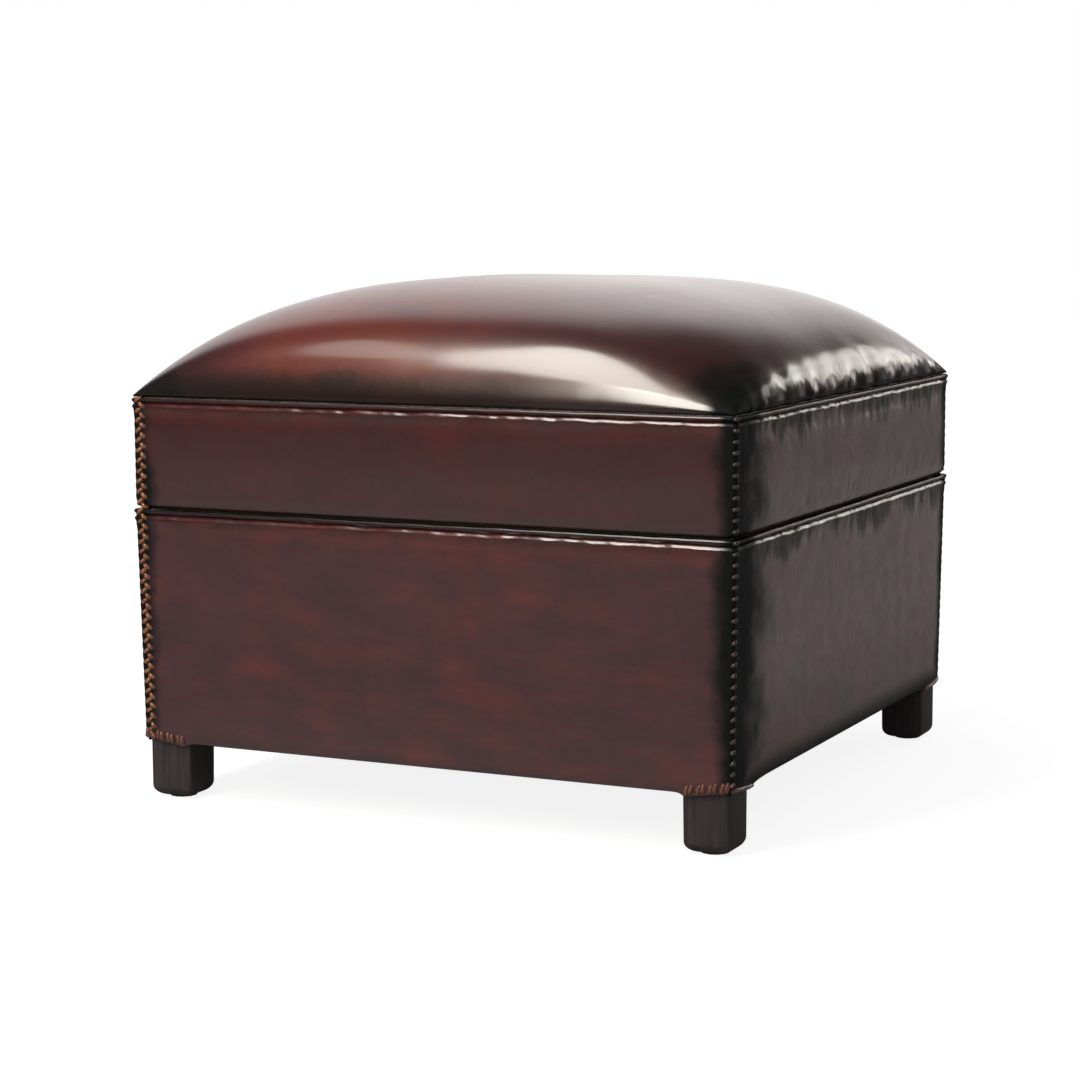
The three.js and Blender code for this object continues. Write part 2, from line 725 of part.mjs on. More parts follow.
function stuffing() {
  const crown = crownSolid(stuffingHalf, innerRimZ, innerCrown - WADDING - FIT_GAP, stuffingFootZ);
  const body = prism(rectangle(padFace), [stuffingFootZ, shoulderZ]);
  const hollow = frustum(-2 * FIT_GAP, platformFootZ, platformZ + FIT_GAP);
  return cut(joined(crown, body), hollow);
}
place("stuffing", stuffing(), hair);
place("wadding", crownShell(padFace, innerRimZ, innerCrown, WADDING), cotton);

// Dust cover, notched round the legs
function dustCover() {
  const edge = inward(face, DUST_INSET);
  const notch = inward(legInner, FIT_GAP);
  const quarter = (sx, sy) => {
    const points = [
      [sx * edge.x, sy * notch.y],
      [sx * notch.x, sy * notch.y],
      [sx * notch.x, sy * edge.y],
    ];
    return sx * sy > 0 ? points : points.reverse();
  };
  const outline = [...quarter(1, 1), ...quarter(-1, 1), ...quarter(-1, -1), ...quarter(1, -1)];
  const top = LEG_REVEAL - FIT_GAP;
  return prism(outline, [top - DUST_COVER, top]);
}
place("dust_cover", dustCover(), cambric);

export default stool;
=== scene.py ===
"""Leather footstool with a sprung, crowned seat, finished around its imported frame."""

import math
import random

import bmesh
import bpy
import numpy as np
from bpy.props import FloatProperty, FloatVectorProperty, IntProperty, PointerProperty
from mathutils import Matrix, Vector, noise


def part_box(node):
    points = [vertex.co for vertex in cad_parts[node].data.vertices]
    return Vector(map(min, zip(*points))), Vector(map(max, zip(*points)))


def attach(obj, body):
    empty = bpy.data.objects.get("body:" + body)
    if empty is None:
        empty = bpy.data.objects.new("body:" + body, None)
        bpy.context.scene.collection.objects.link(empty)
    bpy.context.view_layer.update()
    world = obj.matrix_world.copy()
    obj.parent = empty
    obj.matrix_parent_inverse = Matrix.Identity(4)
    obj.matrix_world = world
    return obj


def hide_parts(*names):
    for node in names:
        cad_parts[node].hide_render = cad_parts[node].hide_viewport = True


bl_info = {
    "name": "Leather Footstool",
    "version": (1, 0, 0),
    "blender": (4, 5, 0),
    "location": "View3D > Sidebar > Footstool",
    "description": "Finishes a hand-stitched leather footstool around its frame",
    "category": "Object",
}

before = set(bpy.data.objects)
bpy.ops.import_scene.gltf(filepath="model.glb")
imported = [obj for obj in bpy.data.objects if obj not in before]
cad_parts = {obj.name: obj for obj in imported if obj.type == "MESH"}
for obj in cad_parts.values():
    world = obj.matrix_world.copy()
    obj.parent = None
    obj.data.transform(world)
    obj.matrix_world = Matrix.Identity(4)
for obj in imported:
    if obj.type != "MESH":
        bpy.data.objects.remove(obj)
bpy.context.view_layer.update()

SIDES = ("front", "right", "back", "left")
CORNERS = ("front_right", "back_right", "back_left", "front_left")
MM = 0.001

# Places that the frame gives, in metres
BAND_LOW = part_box("band_front")[0].z
BAND_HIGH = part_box("band_front")[1].z
FACE = -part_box("band_front")[0].y
WALL_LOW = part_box("side_wall_front")[0].z
WALL_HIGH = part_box("side_wall_front")[1].z
PIPING_RADIUS = (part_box("top_piping")[1].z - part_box("top_piping")[0].z) / 2
TOP_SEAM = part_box("top_piping")[0].z + PIPING_RADIUS
MIDDLE_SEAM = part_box("middle_piping")[0].z + PIPING_RADIUS
COVER_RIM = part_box("top_cover")[0].z
COVER_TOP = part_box("top_cover")[1].z
LEG_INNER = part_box("leg_front_right")[0].x


# Small helpers

def soft_step(low, high, value):
    """Rises smoothly from 0 at low to 1 at high."""
    share = min(1.0, max(0.0, (value - low) / (high - low)))
    return share * share * (3 - 2 * share)


def wander(x, y, seed):
    """A smooth random number, mostly between -0.6 and 0.6, that changes over about one unit."""
    return noise.noise(Vector((x, y, seed * 3.17 + 0.5)))


def quarter_turn(index):
    return Matrix.Rotation(index * math.pi / 2, 3, "Z")


def finish_piece(name, bm, material, stands_for=(), sharp_angle=None):
    """Makes a shaded object from a bmesh, and lets it ride on the stool."""
    mesh = bpy.data.meshes.new(name)
    bm.to_mesh(mesh)
    bm.free()
    mesh.shade_smooth()
    if sharp_angle is not None:
        mesh.set_sharp_from_angle(angle=math.radians(sharp_angle))
    mesh.materials.append(material)
    piece = bpy.data.objects.new(name, mesh)
    bpy.context.scene.collection.objects.link(piece)
    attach(piece, "root")
    if stands_for:
        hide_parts(*stands_for)
    return piece


def give_thickness(piece, thickness, offset=-1.0):
    wall = piece.modifiers.new("Thickness", "SOLIDIFY")
    wall.thickness = thickness
    wall.offset = offset
    wall.use_rim = True


# Shader maths

def math_node(operation, swapped=False):
    """A method that adds one Math node, with its inputs swapped for a reflected operator."""

    def method(self, *other):
        operands = (*other, self) if swapped else (self, *other)
        inputs = dict(enumerate(operands))
        return self.shader.node("ShaderNodeMath", {"operation": operation}, inputs).value(0)

    return method


class Value:
    """A number that changes over a surface. Arithmetic on it adds Math nodes."""

    def __init__(self, shader, socket):
        self.shader = shader
        self.socket = socket

    __add__ = math_node("ADD")
    __radd__ = math_node("ADD", swapped=True)
    __sub__ = math_node("SUBTRACT")
    __rsub__ = math_node("SUBTRACT", swapped=True)
    __mul__ = math_node("MULTIPLY")
    __rmul__ = math_node("MULTIPLY", swapped=True)
    __truediv__ = math_node("DIVIDE")
    __abs__ = math_node("ABSOLUTE")
    larger = math_node("MAXIMUM")
    smaller = math_node("MINIMUM")
    wave = math_node("SINE")

    def ramp(self, low, high, at_low=0.0, at_high=1.0):
        """Goes smoothly from at_low to at_high as the value goes from low to high."""
        if low > high:
            low, high, at_low, at_high = high, low, at_high, at_low
        settings = {"interpolation_type": "SMOOTHSTEP"}
        inputs = {0: self, 1: low, 2: high, 3: at_low, 4: at_high}
        return self.shader.node("ShaderNodeMapRange", settings, inputs).value(0)


class Made:
    """A node that was added, whose outputs are taken by name or number."""

    def __init__(self, shader, node):
        self.shader = shader
        self.node = node

    def value(self, output):
        return Value(self.shader, self.node.outputs[output])

    def socket(self, output):
        return self.node.outputs[output]


class Shader:
    """Adds nodes to one material's or the world's tree."""

    def __init__(self, tree):
        self.tree = tree
        tree.nodes.clear()

    def node(self, kind, settings=None, inputs=None):
        made = self.tree.nodes.new(kind)
        for name, setting in (settings or {}).items():
            if name == "stops":
                self._set_stops(made.color_ramp, setting)
            else:
                setattr(made, name, setting)
        for name, given in (inputs or {}).items():
            socket = made.inputs[name]
            if isinstance(given, Value):
                self.tree.links.new(given.socket, socket)
            elif isinstance(given, bpy.types.NodeSocket):
                self.tree.links.new(given, socket)
            else:
                socket.default_value = given
        return Made(self, made)

    @staticmethod
    def _set_stops(ramp, stops):
        while len(ramp.elements) < len(stops):
            ramp.elements.new(1.0)
        for element, (position, colour) in zip(ramp.elements, stops):
            element.position = position
            element.color = (*colour, 1.0)

    def place(self, kind="Object"):
        """The coordinates of one kind, and their x, y and z."""
        coordinates = self.node("ShaderNodeTexCoord").socket(kind)
        parts = self.node("ShaderNodeSeparateXYZ", None, {0: coordinates})
        return coordinates, parts.value(0), parts.value(1), parts.value(2)

    def stretched(self, vector, scale, turn=(0.0, 0.0, 0.0)):
        inputs = {"Vector": vector, "Scale": scale, "Rotation": turn}
        return self.node("ShaderNodeMapping", None, inputs).socket(0)

    def cloud(self, vector, scale, detail=3.0, roughness=0.5, distortion=0.0):
        """Cloudy noise from 0 to 1, with `scale` patches per metre."""
        inputs = {
            "Vector": vector,
            "Scale": scale,
            "Detail": detail,
            "Roughness": roughness,
            "Distortion": distortion,
        }
        return self.node("ShaderNodeTexNoise", None, inputs).value(0)

    def cells(self, vector, scale, feature="F1"):
        inputs = {"Vector": vector, "Scale": scale}
        return self.node("ShaderNodeTexVoronoi", {"feature": feature}, inputs).value(0)

    def grey(self, value):
        return self.node("ShaderNodeCombineXYZ", None, {0: value, 1: value, 2: value}).socket(0)

    def blend(self, factor, first, second, kind="MIX"):
        """Mixes two colours, given as three numbers or as a socket."""
        colours = [(*c, 1.0) if isinstance(c, tuple) else c for c in (first, second)]
        settings = {"data_type": "RGBA", "blend_type": kind}
        inputs = {0: factor, 6: colours[0], 7: colours[1]}
        return self.node("ShaderNodeMix", settings, inputs).socket(2)

    def bump(self, height, distance, strength=1.0, below=None):
        inputs = {"Height": height, "Distance": distance, "Strength": strength}
        if below is not None:
            inputs["Normal"] = below
        return self.node("ShaderNodeBump", None, inputs).socket(0)

    def principled(self, **inputs):
        """A Principled shader: the names of its sockets, with _ for each space."""
        named = {name.replace("_", " "): given for name, given in inputs.items()}
        for name, given in named.items():
            if isinstance(given, tuple) and len(given) == 3:
                named[name] = (*given, 1.0)
        return self.node("ShaderNodeBsdfPrincipled", None, named).socket(0)

    def output(self, surface):
        self.node("ShaderNodeOutputMaterial", None, {"Surface": surface})

    def surface(self, **inputs):
        self.output(self.principled(**inputs))


def new_material(name):
    material = bpy.data.materials.new(name)
    material.use_nodes = True
    return material, Shader(material.node_tree)


# Settings that a user would change

def length(name, description, default):
    return FloatProperty(name=name, description=description, default=default, unit="LENGTH")


def colour(name, description, default):
    return FloatVectorProperty(
        name=name, description=description, default=default, subtype="COLOR", size=3, min=0, max=1
    )


def fraction(name, description, default):
    return FloatProperty(name=name, description=description, default=default, subtype="FACTOR")


class LeatherSettings(bpy.types.PropertyGroup):
    thickness: length("Thickness", "Thickness of the hide", 2.2 * MM)
    corner_radius: length("Corner radius", "Rounding of the stitched corners", 3.2 * MM)
    roll_radius: length("Rolled edge", "Radius of the turned edge under a piping", 4.0 * MM)
    piping_radius: length("Piping", "Radius of the leather over the piping cord", 1.75 * MM)
    pleat_depth: length("Pleat depth", "Depth of the gathers along the seams", 1.4 * MM)
    belly: length("Belly", "How far the sides stand out between their seams", 1.2 * MM)
    base: colour("Oxblood", "Main colour of the hide", (0.070, 0.0200, 0.0262))
    warm: colour("Warm patch", "Red-brown patches of the patina", (0.135, 0.0225, 0.0155))
    # The dark colour is painted shade, for the gathers, grooves, corners and hem of the hide and for parts
    # of the crown.
    burnish: colour("Burnish", "Dark polish on edges and corners", (0.0065, 0.0048, 0.0050))
    gloss: fraction("Roughness", "Roughness of the waxed surface", 0.30)


class StitchSettings(bpy.types.PropertyGroup):
    thickness: length("Thread", "Thickness of the waxed thread", 2.7 * MM)
    per_band: IntProperty(
        name="Stitches in the band", description="Stitches between the two pipings", default=11
    )
    fresh: colour("Fresh thread", "Colour of the waxed thread", (0.44, 0.17, 0.064))
    # This dark colour is painted shade on the right-hand stitches.
    stained: colour("Stained thread", "Colour where the polish has darkened it", (0.060, 0.034, 0.030))


class WoodSettings(bpy.types.PropertyGroup):
    leg: colour("Leg wood", "Stain on the legs", (0.040, 0.0305, 0.0320))
    carcass: colour("Frame wood", "Colour of the hidden beech frame", (0.42, 0.25, 0.13))
    foot_rounding: length("Foot rounding", "Rounding of the lower edges of the legs", 9 * MM)


class StageSettings(bpy.types.PropertyGroup):
    focal_length: FloatProperty(
        name="Focal length", description="Lens in millimetres on a 36 mm sensor", default=88.1
    )
    softbox_power: FloatProperty(
        name="Softbox", description="Power of the strip light above the seat", default=27.0, unit="POWER"
    )
    rim_power: FloatProperty(
        name="Rear light", description="Power of the light behind the stool", default=2.8, unit="POWER"
    )
    surround: fraction("Surround", "Brightness of the room round the stool", 0.38)


# Finishes

class Hide:
    """Clouds on the leather, distances to its seams and corners, and the masks made of them."""

    def __init__(self, shader):
        self.shader = shader
        place, x, y, z = shader.place()
        self.place, self.x, self.z = place, x, z
        self.wide, self.deep = abs(x), abs(y)
        self.cloudy = shader.cloud(place, 9.0, 4.0, 0.6, 0.4)
        self.mottle = shader.cloud(place, 55.0, 5.0, 0.62, 0.8)
        self.speckle = shader.cloud(place, 420.0, 3.0, 0.6)
        self.streak = shader.cloud(shader.stretched(place, (14.0, 14.0, 60.0)), 1.0, 3.0, 0.6)
        self.comb = shader.cloud(shader.stretched(place, (38.0, 38.0, 9.0)), 1.0, 3.0, 0.55)
        blotch = shader.cloud(place, 24.0, 2.0, 0.5)
        self.ragged = (self.cloudy - 0.5) * 0.014 + (self.mottle - 0.5) * 0.008 + (blotch - 0.5) * 0.022
        away = y.ramp(0.0, 0.1).larger((0.0 - x).ramp(0.0, 0.1))
        past_front = (FACE - self.deep).larger(0.0) * (0.27 + away * 0.6)
        self.to_corner = (FACE - self.wide).larger(0.0) + past_front
        at_side = self.wide.ramp(FACE - 0.008, FACE - 0.004)
        self.on_side = at_side * self.deep.ramp(FACE - 0.001, FACE - 0.004)
        self.over_middle = z - MIDDLE_SEAM
        below_top = (TOP_SEAM - z) + (z - TOP_SEAM).ramp(0.0, 0.002) * 0.05
        below_middle = (MIDDLE_SEAM - z) + self.over_middle.ramp(0.0, 0.002) * 0.05
        self.to_seam = below_top.smaller(below_middle + self.over_middle.ramp(-0.004, 0.0) * 0.2)
        patches = blotch * 0.5 + self.streak * 0.5 - 0.5
        self.patchy = (MIDDLE_SEAM - z).ramp(0.0, 0.03) * patches * 1.4

    def side_polish(self, worn):
        """Painted shade: how dark and how matt the hide is in the gathers along its seams, in the groove
        above the lower piping, at its corners and at its hem, most on the side panels.
        """
        # Painted shade at the corners, reaching further round onto the side faces.
        corner = (self.to_corner + self.ragged).ramp(0.025, 0.007)
        # Painted shade in the pockets between the gathers below each seam, reaching deepest on the side
        # panels.
        reach = 0.0055 + self.comb.ramp(0.38, 0.66) * (0.004 + self.on_side * 0.016)
        seam = (reach - self.to_seam + 0.003).ramp(-0.007, 0.009) * (0.45 + self.on_side * 0.45)
        seam = seam - self.to_seam.ramp(0.0068, 0.0054) * (0.4 + self.comb * 0.3)
        # Painted shade in the groove where the band tucks in just above the lower piping.
        above = self.over_middle.ramp(0.007, 0.003) * self.over_middle.ramp(0.0, 0.001)
        # Painted shade along the hem, where the hide turns under, darkest on the side panels.
        hem = (self.z - 0.052 + (self.mottle - 0.5) * 0.01) / (0.010 + self.on_side * 0.014)
        hem = hem.ramp(1.0, 0.0) * (0.35 + self.on_side * 0.55)
        band = self.over_middle.ramp(-0.001, 0.001)
        dark = corner.larger(seam).larger(above * 0.9).larger(hem).larger(band * 0.14)
        matt = (corner * 0.96).larger(seam * 0.65).larger(worn).larger(hem * self.on_side)
        return dark, matt

    def crown_polish(self):
        """Painted shade and painted dark reflection on the crown: in the pockets between the gathers along
        its right rim, in a band round its rim, at its corners, and over its right half and its left end.
        """
        # Painted shade darkens the crown's right half and its left end.
        right = self.x.ramp(0.02, 0.24)
        left = (0.0 - self.x).ramp(0.15, 0.26)
        up = self.z - COVER_RIM
        to_rim = FACE - self.wide.larger(self.deep) + up.larger(0.0)
        # Painted shade in the pockets between the gathers along the right rim.
        pocket = to_rim / (0.008 + self.comb.ramp(0.35, 0.65) * 0.016)
        rim = (pocket + (self.mottle - 0.5) * 0.3).ramp(1.15, 0.65)
        # Painted shade in a band round the rim, where the crown turns down.
        near_rim = (to_rim + (self.cloudy - 0.5) * 0.03).ramp(0.040, 0.010)
        from_corner = self.to_corner + up * 0.45
        # Painted dark reflection round the corners of the crown.
        spot = (from_corner + (self.cloudy - 0.5) * 0.03).ramp(0.078, 0.044)
        # Painted dark reflection at the tips of the corners, made matt on the right.
        tip = (from_corner + (self.cloudy - 0.5) * 0.02).ramp(0.034, 0.016)
        at_side = right * (self.wide - self.deep).ramp(-0.003, 0.003)
        dark = (rim * at_side).larger(spot).larger(right * 0.45).larger(near_rim * 0.7).larger(left * 0.66)
        # Painted dark reflection on the upper part of the back right corner.
        behind = (self.deep - self.wide + 0.02).ramp(0.0, 0.02)
        upper = spot * (self.z - 0.372).ramp(0.0, 0.012) * behind * right
        # The matt coat takes the reflection away where the shade is painted.
        matt = (rim * at_side * 0.86).larger(tip * at_side).larger(upper)
        matt = matt.larger(near_rim * 0.55 * (1.0 - self.x.ramp(0.05, 0.14)))
        matt = matt.larger((self.to_corner + self.ragged * 0.5).ramp(0.030, 0.016) * right)
        return dark, matt

    def warmth(self, crown):
        """How far the patina turns from burgundy to red-brown."""
        warmth = self.cloudy.ramp(0.42, 0.72) * 0.35 + (self.mottle - 0.5) * 0.7
        if crown:
            across = (0.16 - self.x).ramp(0.0, 0.24) * (self.x + 0.25).ramp(0.0, 0.16)
            warmth = warmth + across * self.cloudy.ramp(0.24, 0.52)
        else:
            glow = self.to_seam.ramp(0.030, 0.004) * (1.0 - self.on_side) * self.streak.ramp(0.3, 0.6)
            warmth = warmth + glow * 0.7 + self.streak.ramp(0.5, 0.75) * 0.2
            warmth = warmth + self.on_side * 0.15 + self.patchy * 0.9
        return warmth.larger(0.0).smaller(1.0)

    def tone(self, dark, crown):
        leather = bpy.context.scene.stool_leather
        tone = self.shader.blend(self.warmth(crown), tuple(leather.base), tuple(leather.warm))
        if not crown:
            # Painted reflection of the pale floor on the band's lower curve, just above the lower piping,
            # not on the side panels.
            floor_reflection = self.over_middle.ramp(0.016, 0.006) * self.over_middle.ramp(0.003, 0.005)
            tone = self.shader.blend(floor_reflection * (1.0 - self.on_side) * 0.4, tone, (0.090, 0.055, 0.064))
        # Painted shade: the dark masks blend the hide towards the shade colour.
        tone = self.shader.blend(dark, tone, tuple(leather.burnish))
        fleck = 0.84 + self.speckle * 0.32 + self.patchy * 0.8
        return self.shader.blend(1.0, tone, self.shader.grey(fleck), "MULTIPLY")

    def relief(self):
        """Pores, grain, and creases that run down from the seams."""
        pores = self.shader.cloud(self.place, 260.0, 2.0, 0.5)
        relief = self.shader.bump(pores, 0.00012, 0.5)
        relief = self.shader.bump(self.mottle * (1.0 + self.on_side * 3.0), 0.0010, 0.2, relief)
        creased = self.comb * self.to_seam.ramp(0.055, 0.010) * (0.25 + self.on_side * 0.75)
        return self.shader.bump(creased, 0.004, 0.25, relief)


def leather_finish(name, darker=0.0, worn=0.0, crown=False):
    """Waxed hide, with painted shade blended into its colour and a near-black matt coat mixed in where the
    shade is painted.
    """
    material, shader = new_material(name)
    hide = Hide(shader)
    # Masks of painted shade: how dark and how matt each part of the hide is.
    dark, matt = hide.crown_polish() if crown else hide.side_polish(worn)
    dark = (dark + darker).larger(0.0).smaller(1.0)
    gloss = bpy.context.scene.stool_leather.gloss
    relief = hide.relief()
    polished = shader.principled(
        Base_Color=hide.tone(dark, crown),
        Roughness=gloss + (hide.mottle - 0.5) * 0.10 + (hide.speckle - 0.5) * 0.04,
        Normal=relief,
        IOR=1.5,
        Specular_Tint=(1.0, 0.84, 0.75) if crown else (1.0, 1.0, 1.0),
        Coat_Weight=0.9 + hide.on_side * (0.1 - hide.mottle.ramp(0.35, 0.65) * 0.3),
        Coat_Roughness=0.13,
        Coat_IOR=1.65,
        Coat_Tint=(1.0, 0.94, 0.89),
    )
    # A near-black matt coat, mixed in by the matt mask: painted shade, and the worn share given for the
    # piping.
    waxed = shader.principled(
        Base_Color=(0.0085, 0.0088, 0.0088), Roughness=0.6, Normal=relief, Specular_IOR_Level=0.08
    )
    shader.output(shader.node("ShaderNodeMixShader", None, {0: matt, 1: polished, 2: waxed}).socket(0))
    return material


def thread_finish(name):
    """Waxed linen thread, fresh on the left of the stool and darkened on the right by painted shade."""
    stitch = bpy.context.scene.stool_stitch
    material, shader = new_material(name)
    place, x, y, z = shader.place()
    fuzz = shader.cloud(place, 900.0, 3.0, 0.6)
    patch = shader.cloud(place, 60.0, 3.0, 0.6)
    # Painted shade darkens the stitches at the right-hand corners, above the legs.
    right_shade = (x + (patch - 0.5) * 0.02).ramp(0.255, 0.268) * z.ramp(0.058, 0.066)
    redder = (patch.ramp(0.35, 0.65) * 0.6 + z.ramp(0.068, 0.060) * 0.75).smaller(1.0)
    fresh = shader.blend(redder, tuple(stitch.fresh), (0.19, 0.056, 0.032))
    tone = shader.blend(right_shade, fresh, tuple(stitch.stained))
    tone = shader.blend(fuzz.ramp(0.35, 0.75) * 0.4, tone, (0.02, 0.01, 0.008))
    twist = ((x + y) * 2400.0 + z * 5200.0).wave()
    relief = shader.bump(twist * 0.5 + fuzz, 0.0003, 0.8)
    shader.surface(Base_Color=tone, Roughness=0.38 + fuzz * 0.15, Normal=relief, Coat_Weight=0.8)
    return material


def leg_finish(name):
    """Dark stained hardwood with a faint upright grain."""
    wood = bpy.context.scene.stool_wood
    material, shader = new_material(name)
    place, _, _, z = shader.place()
    grain = shader.cloud(shader.stretched(place, (260.0, 260.0, 9.0)), 1.0, 5.0, 0.62, 0.3)
    broad = shader.cloud(shader.stretched(place, (60.0, 60.0, 6.0)), 1.0, 3.0, 0.5)
    # Darker towards the floor, over the lowest centimetre of each leg.
    darker_at_floor = (z + (broad - 0.5) * 0.01).ramp(0.010, 0.0)
    light = tuple(c * 1.85 for c in wood.leg)
    tone = shader.blend(grain.ramp(0.38, 0.72), tuple(wood.leg), light)
    tone = shader.blend(broad.ramp(0.5, 0.8) * 0.4, tone, (0.012, 0.007, 0.006))
    tone = shader.blend(darker_at_floor * 0.6, tone, (0.008, 0.006, 0.006))
    relief = shader.bump(grain, 0.0003, 0.6)
    shader.surface(
        Base_Color=tone, Roughness=0.42 + grain * 0.16, Normal=relief, Specular_IOR_Level=0.35
    )
    return material


def frame_wood_finish(name, tone_shift, length_axis):
    """Pale beech with its grain along the rail."""
    wood = bpy.context.scene.stool_wood
    material, shader = new_material(name)
    place = shader.place()[0]
    scale = [140.0, 140.0, 140.0]
    scale["xyz".index(length_axis)] = 7.0
    grain = shader.cloud(shader.stretched(place, tuple(scale)), 1.0, 5.0, 0.6, 0.5)
    fleck = shader.cloud(shader.stretched(place, tuple(s * 4 for s in scale)), 1.0, 2.0, 0.5)
    base = tuple(c * tone_shift for c in wood.carcass)
    tone = shader.blend(grain.ramp(0.35, 0.7), base, tuple(c * 0.62 for c in base))
    tone = shader.blend(fleck.ramp(0.55, 0.7) * 0.5, tone, tuple(c * 0.45 for c in base))
    relief = shader.bump(grain + fleck * 0.4, 0.0004, 0.5)
    shader.surface(Base_Color=tone, Roughness=0.55 + grain * 0.15, Normal=relief)
    return material


def weave_finish(name, light, dark, pitch, roughness=0.85, stripe=None):
    """Plain weave over and under, on Object coordinates."""
    material, shader = new_material(name)
    place, x, y, _ = shader.place()
    turns = 2 * math.pi / pitch
    warp, weft = (x * turns).wave(), (y * turns).wave()
    crossing = warp * weft
    fuzz = shader.cloud(place, 1.2 / pitch, 3.0, 0.6)
    height = abs(warp) * 0.5 + abs(weft) * 0.5 + crossing * 0.3 + fuzz * 0.4
    tone = shader.blend(height.ramp(0.3, 1.2), dark, light)
    if stripe is not None:
        tint, spacing = stripe
        turns = math.pi / spacing
        lanes = (abs(x * turns).wave() * (y * turns).wave()).ramp(0.55, 0.75)
        tone = shader.blend(lanes * 0.7, tone, tint)
    relief = shader.bump(height, pitch * 0.35, 0.9)
    shader.surface(Base_Color=tone, Roughness=roughness + (fuzz - 0.5) * 0.1, Normal=relief)
    return material


def fibre_finish(name, light, dark, scale, depth):
    """Loose tangled fibres."""
    material, shader = new_material(name)
    place = shader.place()[0]
    tangle = shader.cloud(place, scale, 6.0, 0.7, 2.5)
    strands = shader.cells(place, scale * 2.2, "DISTANCE_TO_EDGE") * 3.0
    height = tangle + strands.smaller(1.0) * 0.4
    tone = shader.blend(height.ramp(0.35, 1.0), dark, light)
    shader.surface(
        Base_Color=tone, Roughness=0.9 + (tangle - 0.5) * 0.1, Normal=shader.bump(height, depth, 0.9)
    )
    return material


def steel_finish(name):
    material, shader = new_material(name)
    place = shader.place()[0]
    tarnish = shader.cloud(place, 45.0, 4.0, 0.6)
    drawn = shader.cloud(shader.stretched(place, (300.0, 300.0, 300.0)), 1.0, 2.0)
    tone = shader.blend(tarnish.ramp(0.4, 0.7), (0.42, 0.38, 0.34), (0.20, 0.13, 0.09))
    shader.surface(
        Base_Color=tone,
        Metallic=1.0 - tarnish.ramp(0.5, 0.8) * 0.4,
        Roughness=0.32 + tarnish * 0.25,
        Normal=shader.bump(drawn, 0.0001, 0.5),
    )
    return material


def nylon_finish(name):
    material, shader = new_material(name)
    place = shader.place()[0]
    scuff = shader.cloud(place, 300.0, 4.0, 0.7)
    tone = shader.blend(scuff.ramp(0.45, 0.75), (0.018, 0.016, 0.015), (0.045, 0.041, 0.038))
    shader.surface(Base_Color=tone, Roughness=0.4 + scuff * 0.25, Normal=shader.bump(scuff, 0.0002, 0.5))
    return material


# The crowned seat

CROWN_POWER = 3.2
CROWN_CELLS = 220
CROWN_START = 4 * MM


def fold_places(seed, count, half, *ranges):
    """Random folds along one seam: place, half width, depth, length and lean of each."""
    draw = random.Random(seed)
    folds = []
    for index in range(count):
        place = -half + 2 * half * (index + draw.uniform(0.15, 0.85)) / count
        folds.append((place, *(draw.uniform(*ends) for ends in (*ranges, (-0.25, 0.25)))))
    return folds


def fold_relief(along, inward, folds):
    """How far the hide stands out at each point: a valley at each fold, with a ridge on either side."""
    relief = np.zeros_like(along)
    for place, width, depth, reach, lean in folds:
        spread = width * (1 + inward / (reach * 1.2))
        offset = (along - place - lean * inward) / spread
        fade = np.exp(-((inward / reach) ** 1.6))
        relief -= depth * fade * (1 - 2 * offset**2) * np.exp(-(offset**2))
    return relief


def fold_at(along, inward, folds):
    """The same relief at one point, counting only the folds near it."""
    relief = 0.0
    for place, width, depth, reach, lean in folds:
        if inward > 2.5 * reach or abs(along - place) > 0.04:
            continue
        spread = width * (1 + inward / (reach * 1.2))
        offset = ((along - place - lean * inward) / spread) ** 2
        if offset < 9:
            relief -= depth * math.exp(-((inward / reach) ** 1.6)) * (1 - 2 * offset) * math.exp(-offset)
    return relief


def crown_points(s, t):
    """Points of the crown and its outward directions, from a grid's places between -1 and 1."""
    half = FACE
    height = COVER_TOP - COVER_RIM
    ratio = (CROWN_START / height) ** 2
    widest = (1 - ratio) ** (1 / CROWN_POWER)
    u = widest * (1.125 * s - 0.125 * s * np.abs(s) ** 8)
    v = widest * (1.125 * t - 0.125 * t * np.abs(t) ** 8)
    fall_u = 1 - np.abs(u) ** CROWN_POWER
    fall_v = 1 - np.abs(v) ** CROWN_POWER
    z = height * np.sqrt(fall_u * fall_v)
    power = CROWN_POWER - 1
    slope_u = CROWN_POWER / 2 * height / half * np.abs(u) ** power * np.sign(u)
    slope_v = CROWN_POWER / 2 * height / half * np.abs(v) ** power * np.sign(v)
    facing = np.stack(
        [slope_u * np.sqrt(fall_v / fall_u), slope_v * np.sqrt(fall_u / fall_v), np.ones_like(u)], 1
    )
    facing /= np.linalg.norm(facing, axis=1)[:, None]
    return np.stack([u * half, v * half, COVER_RIM + z], 1), facing


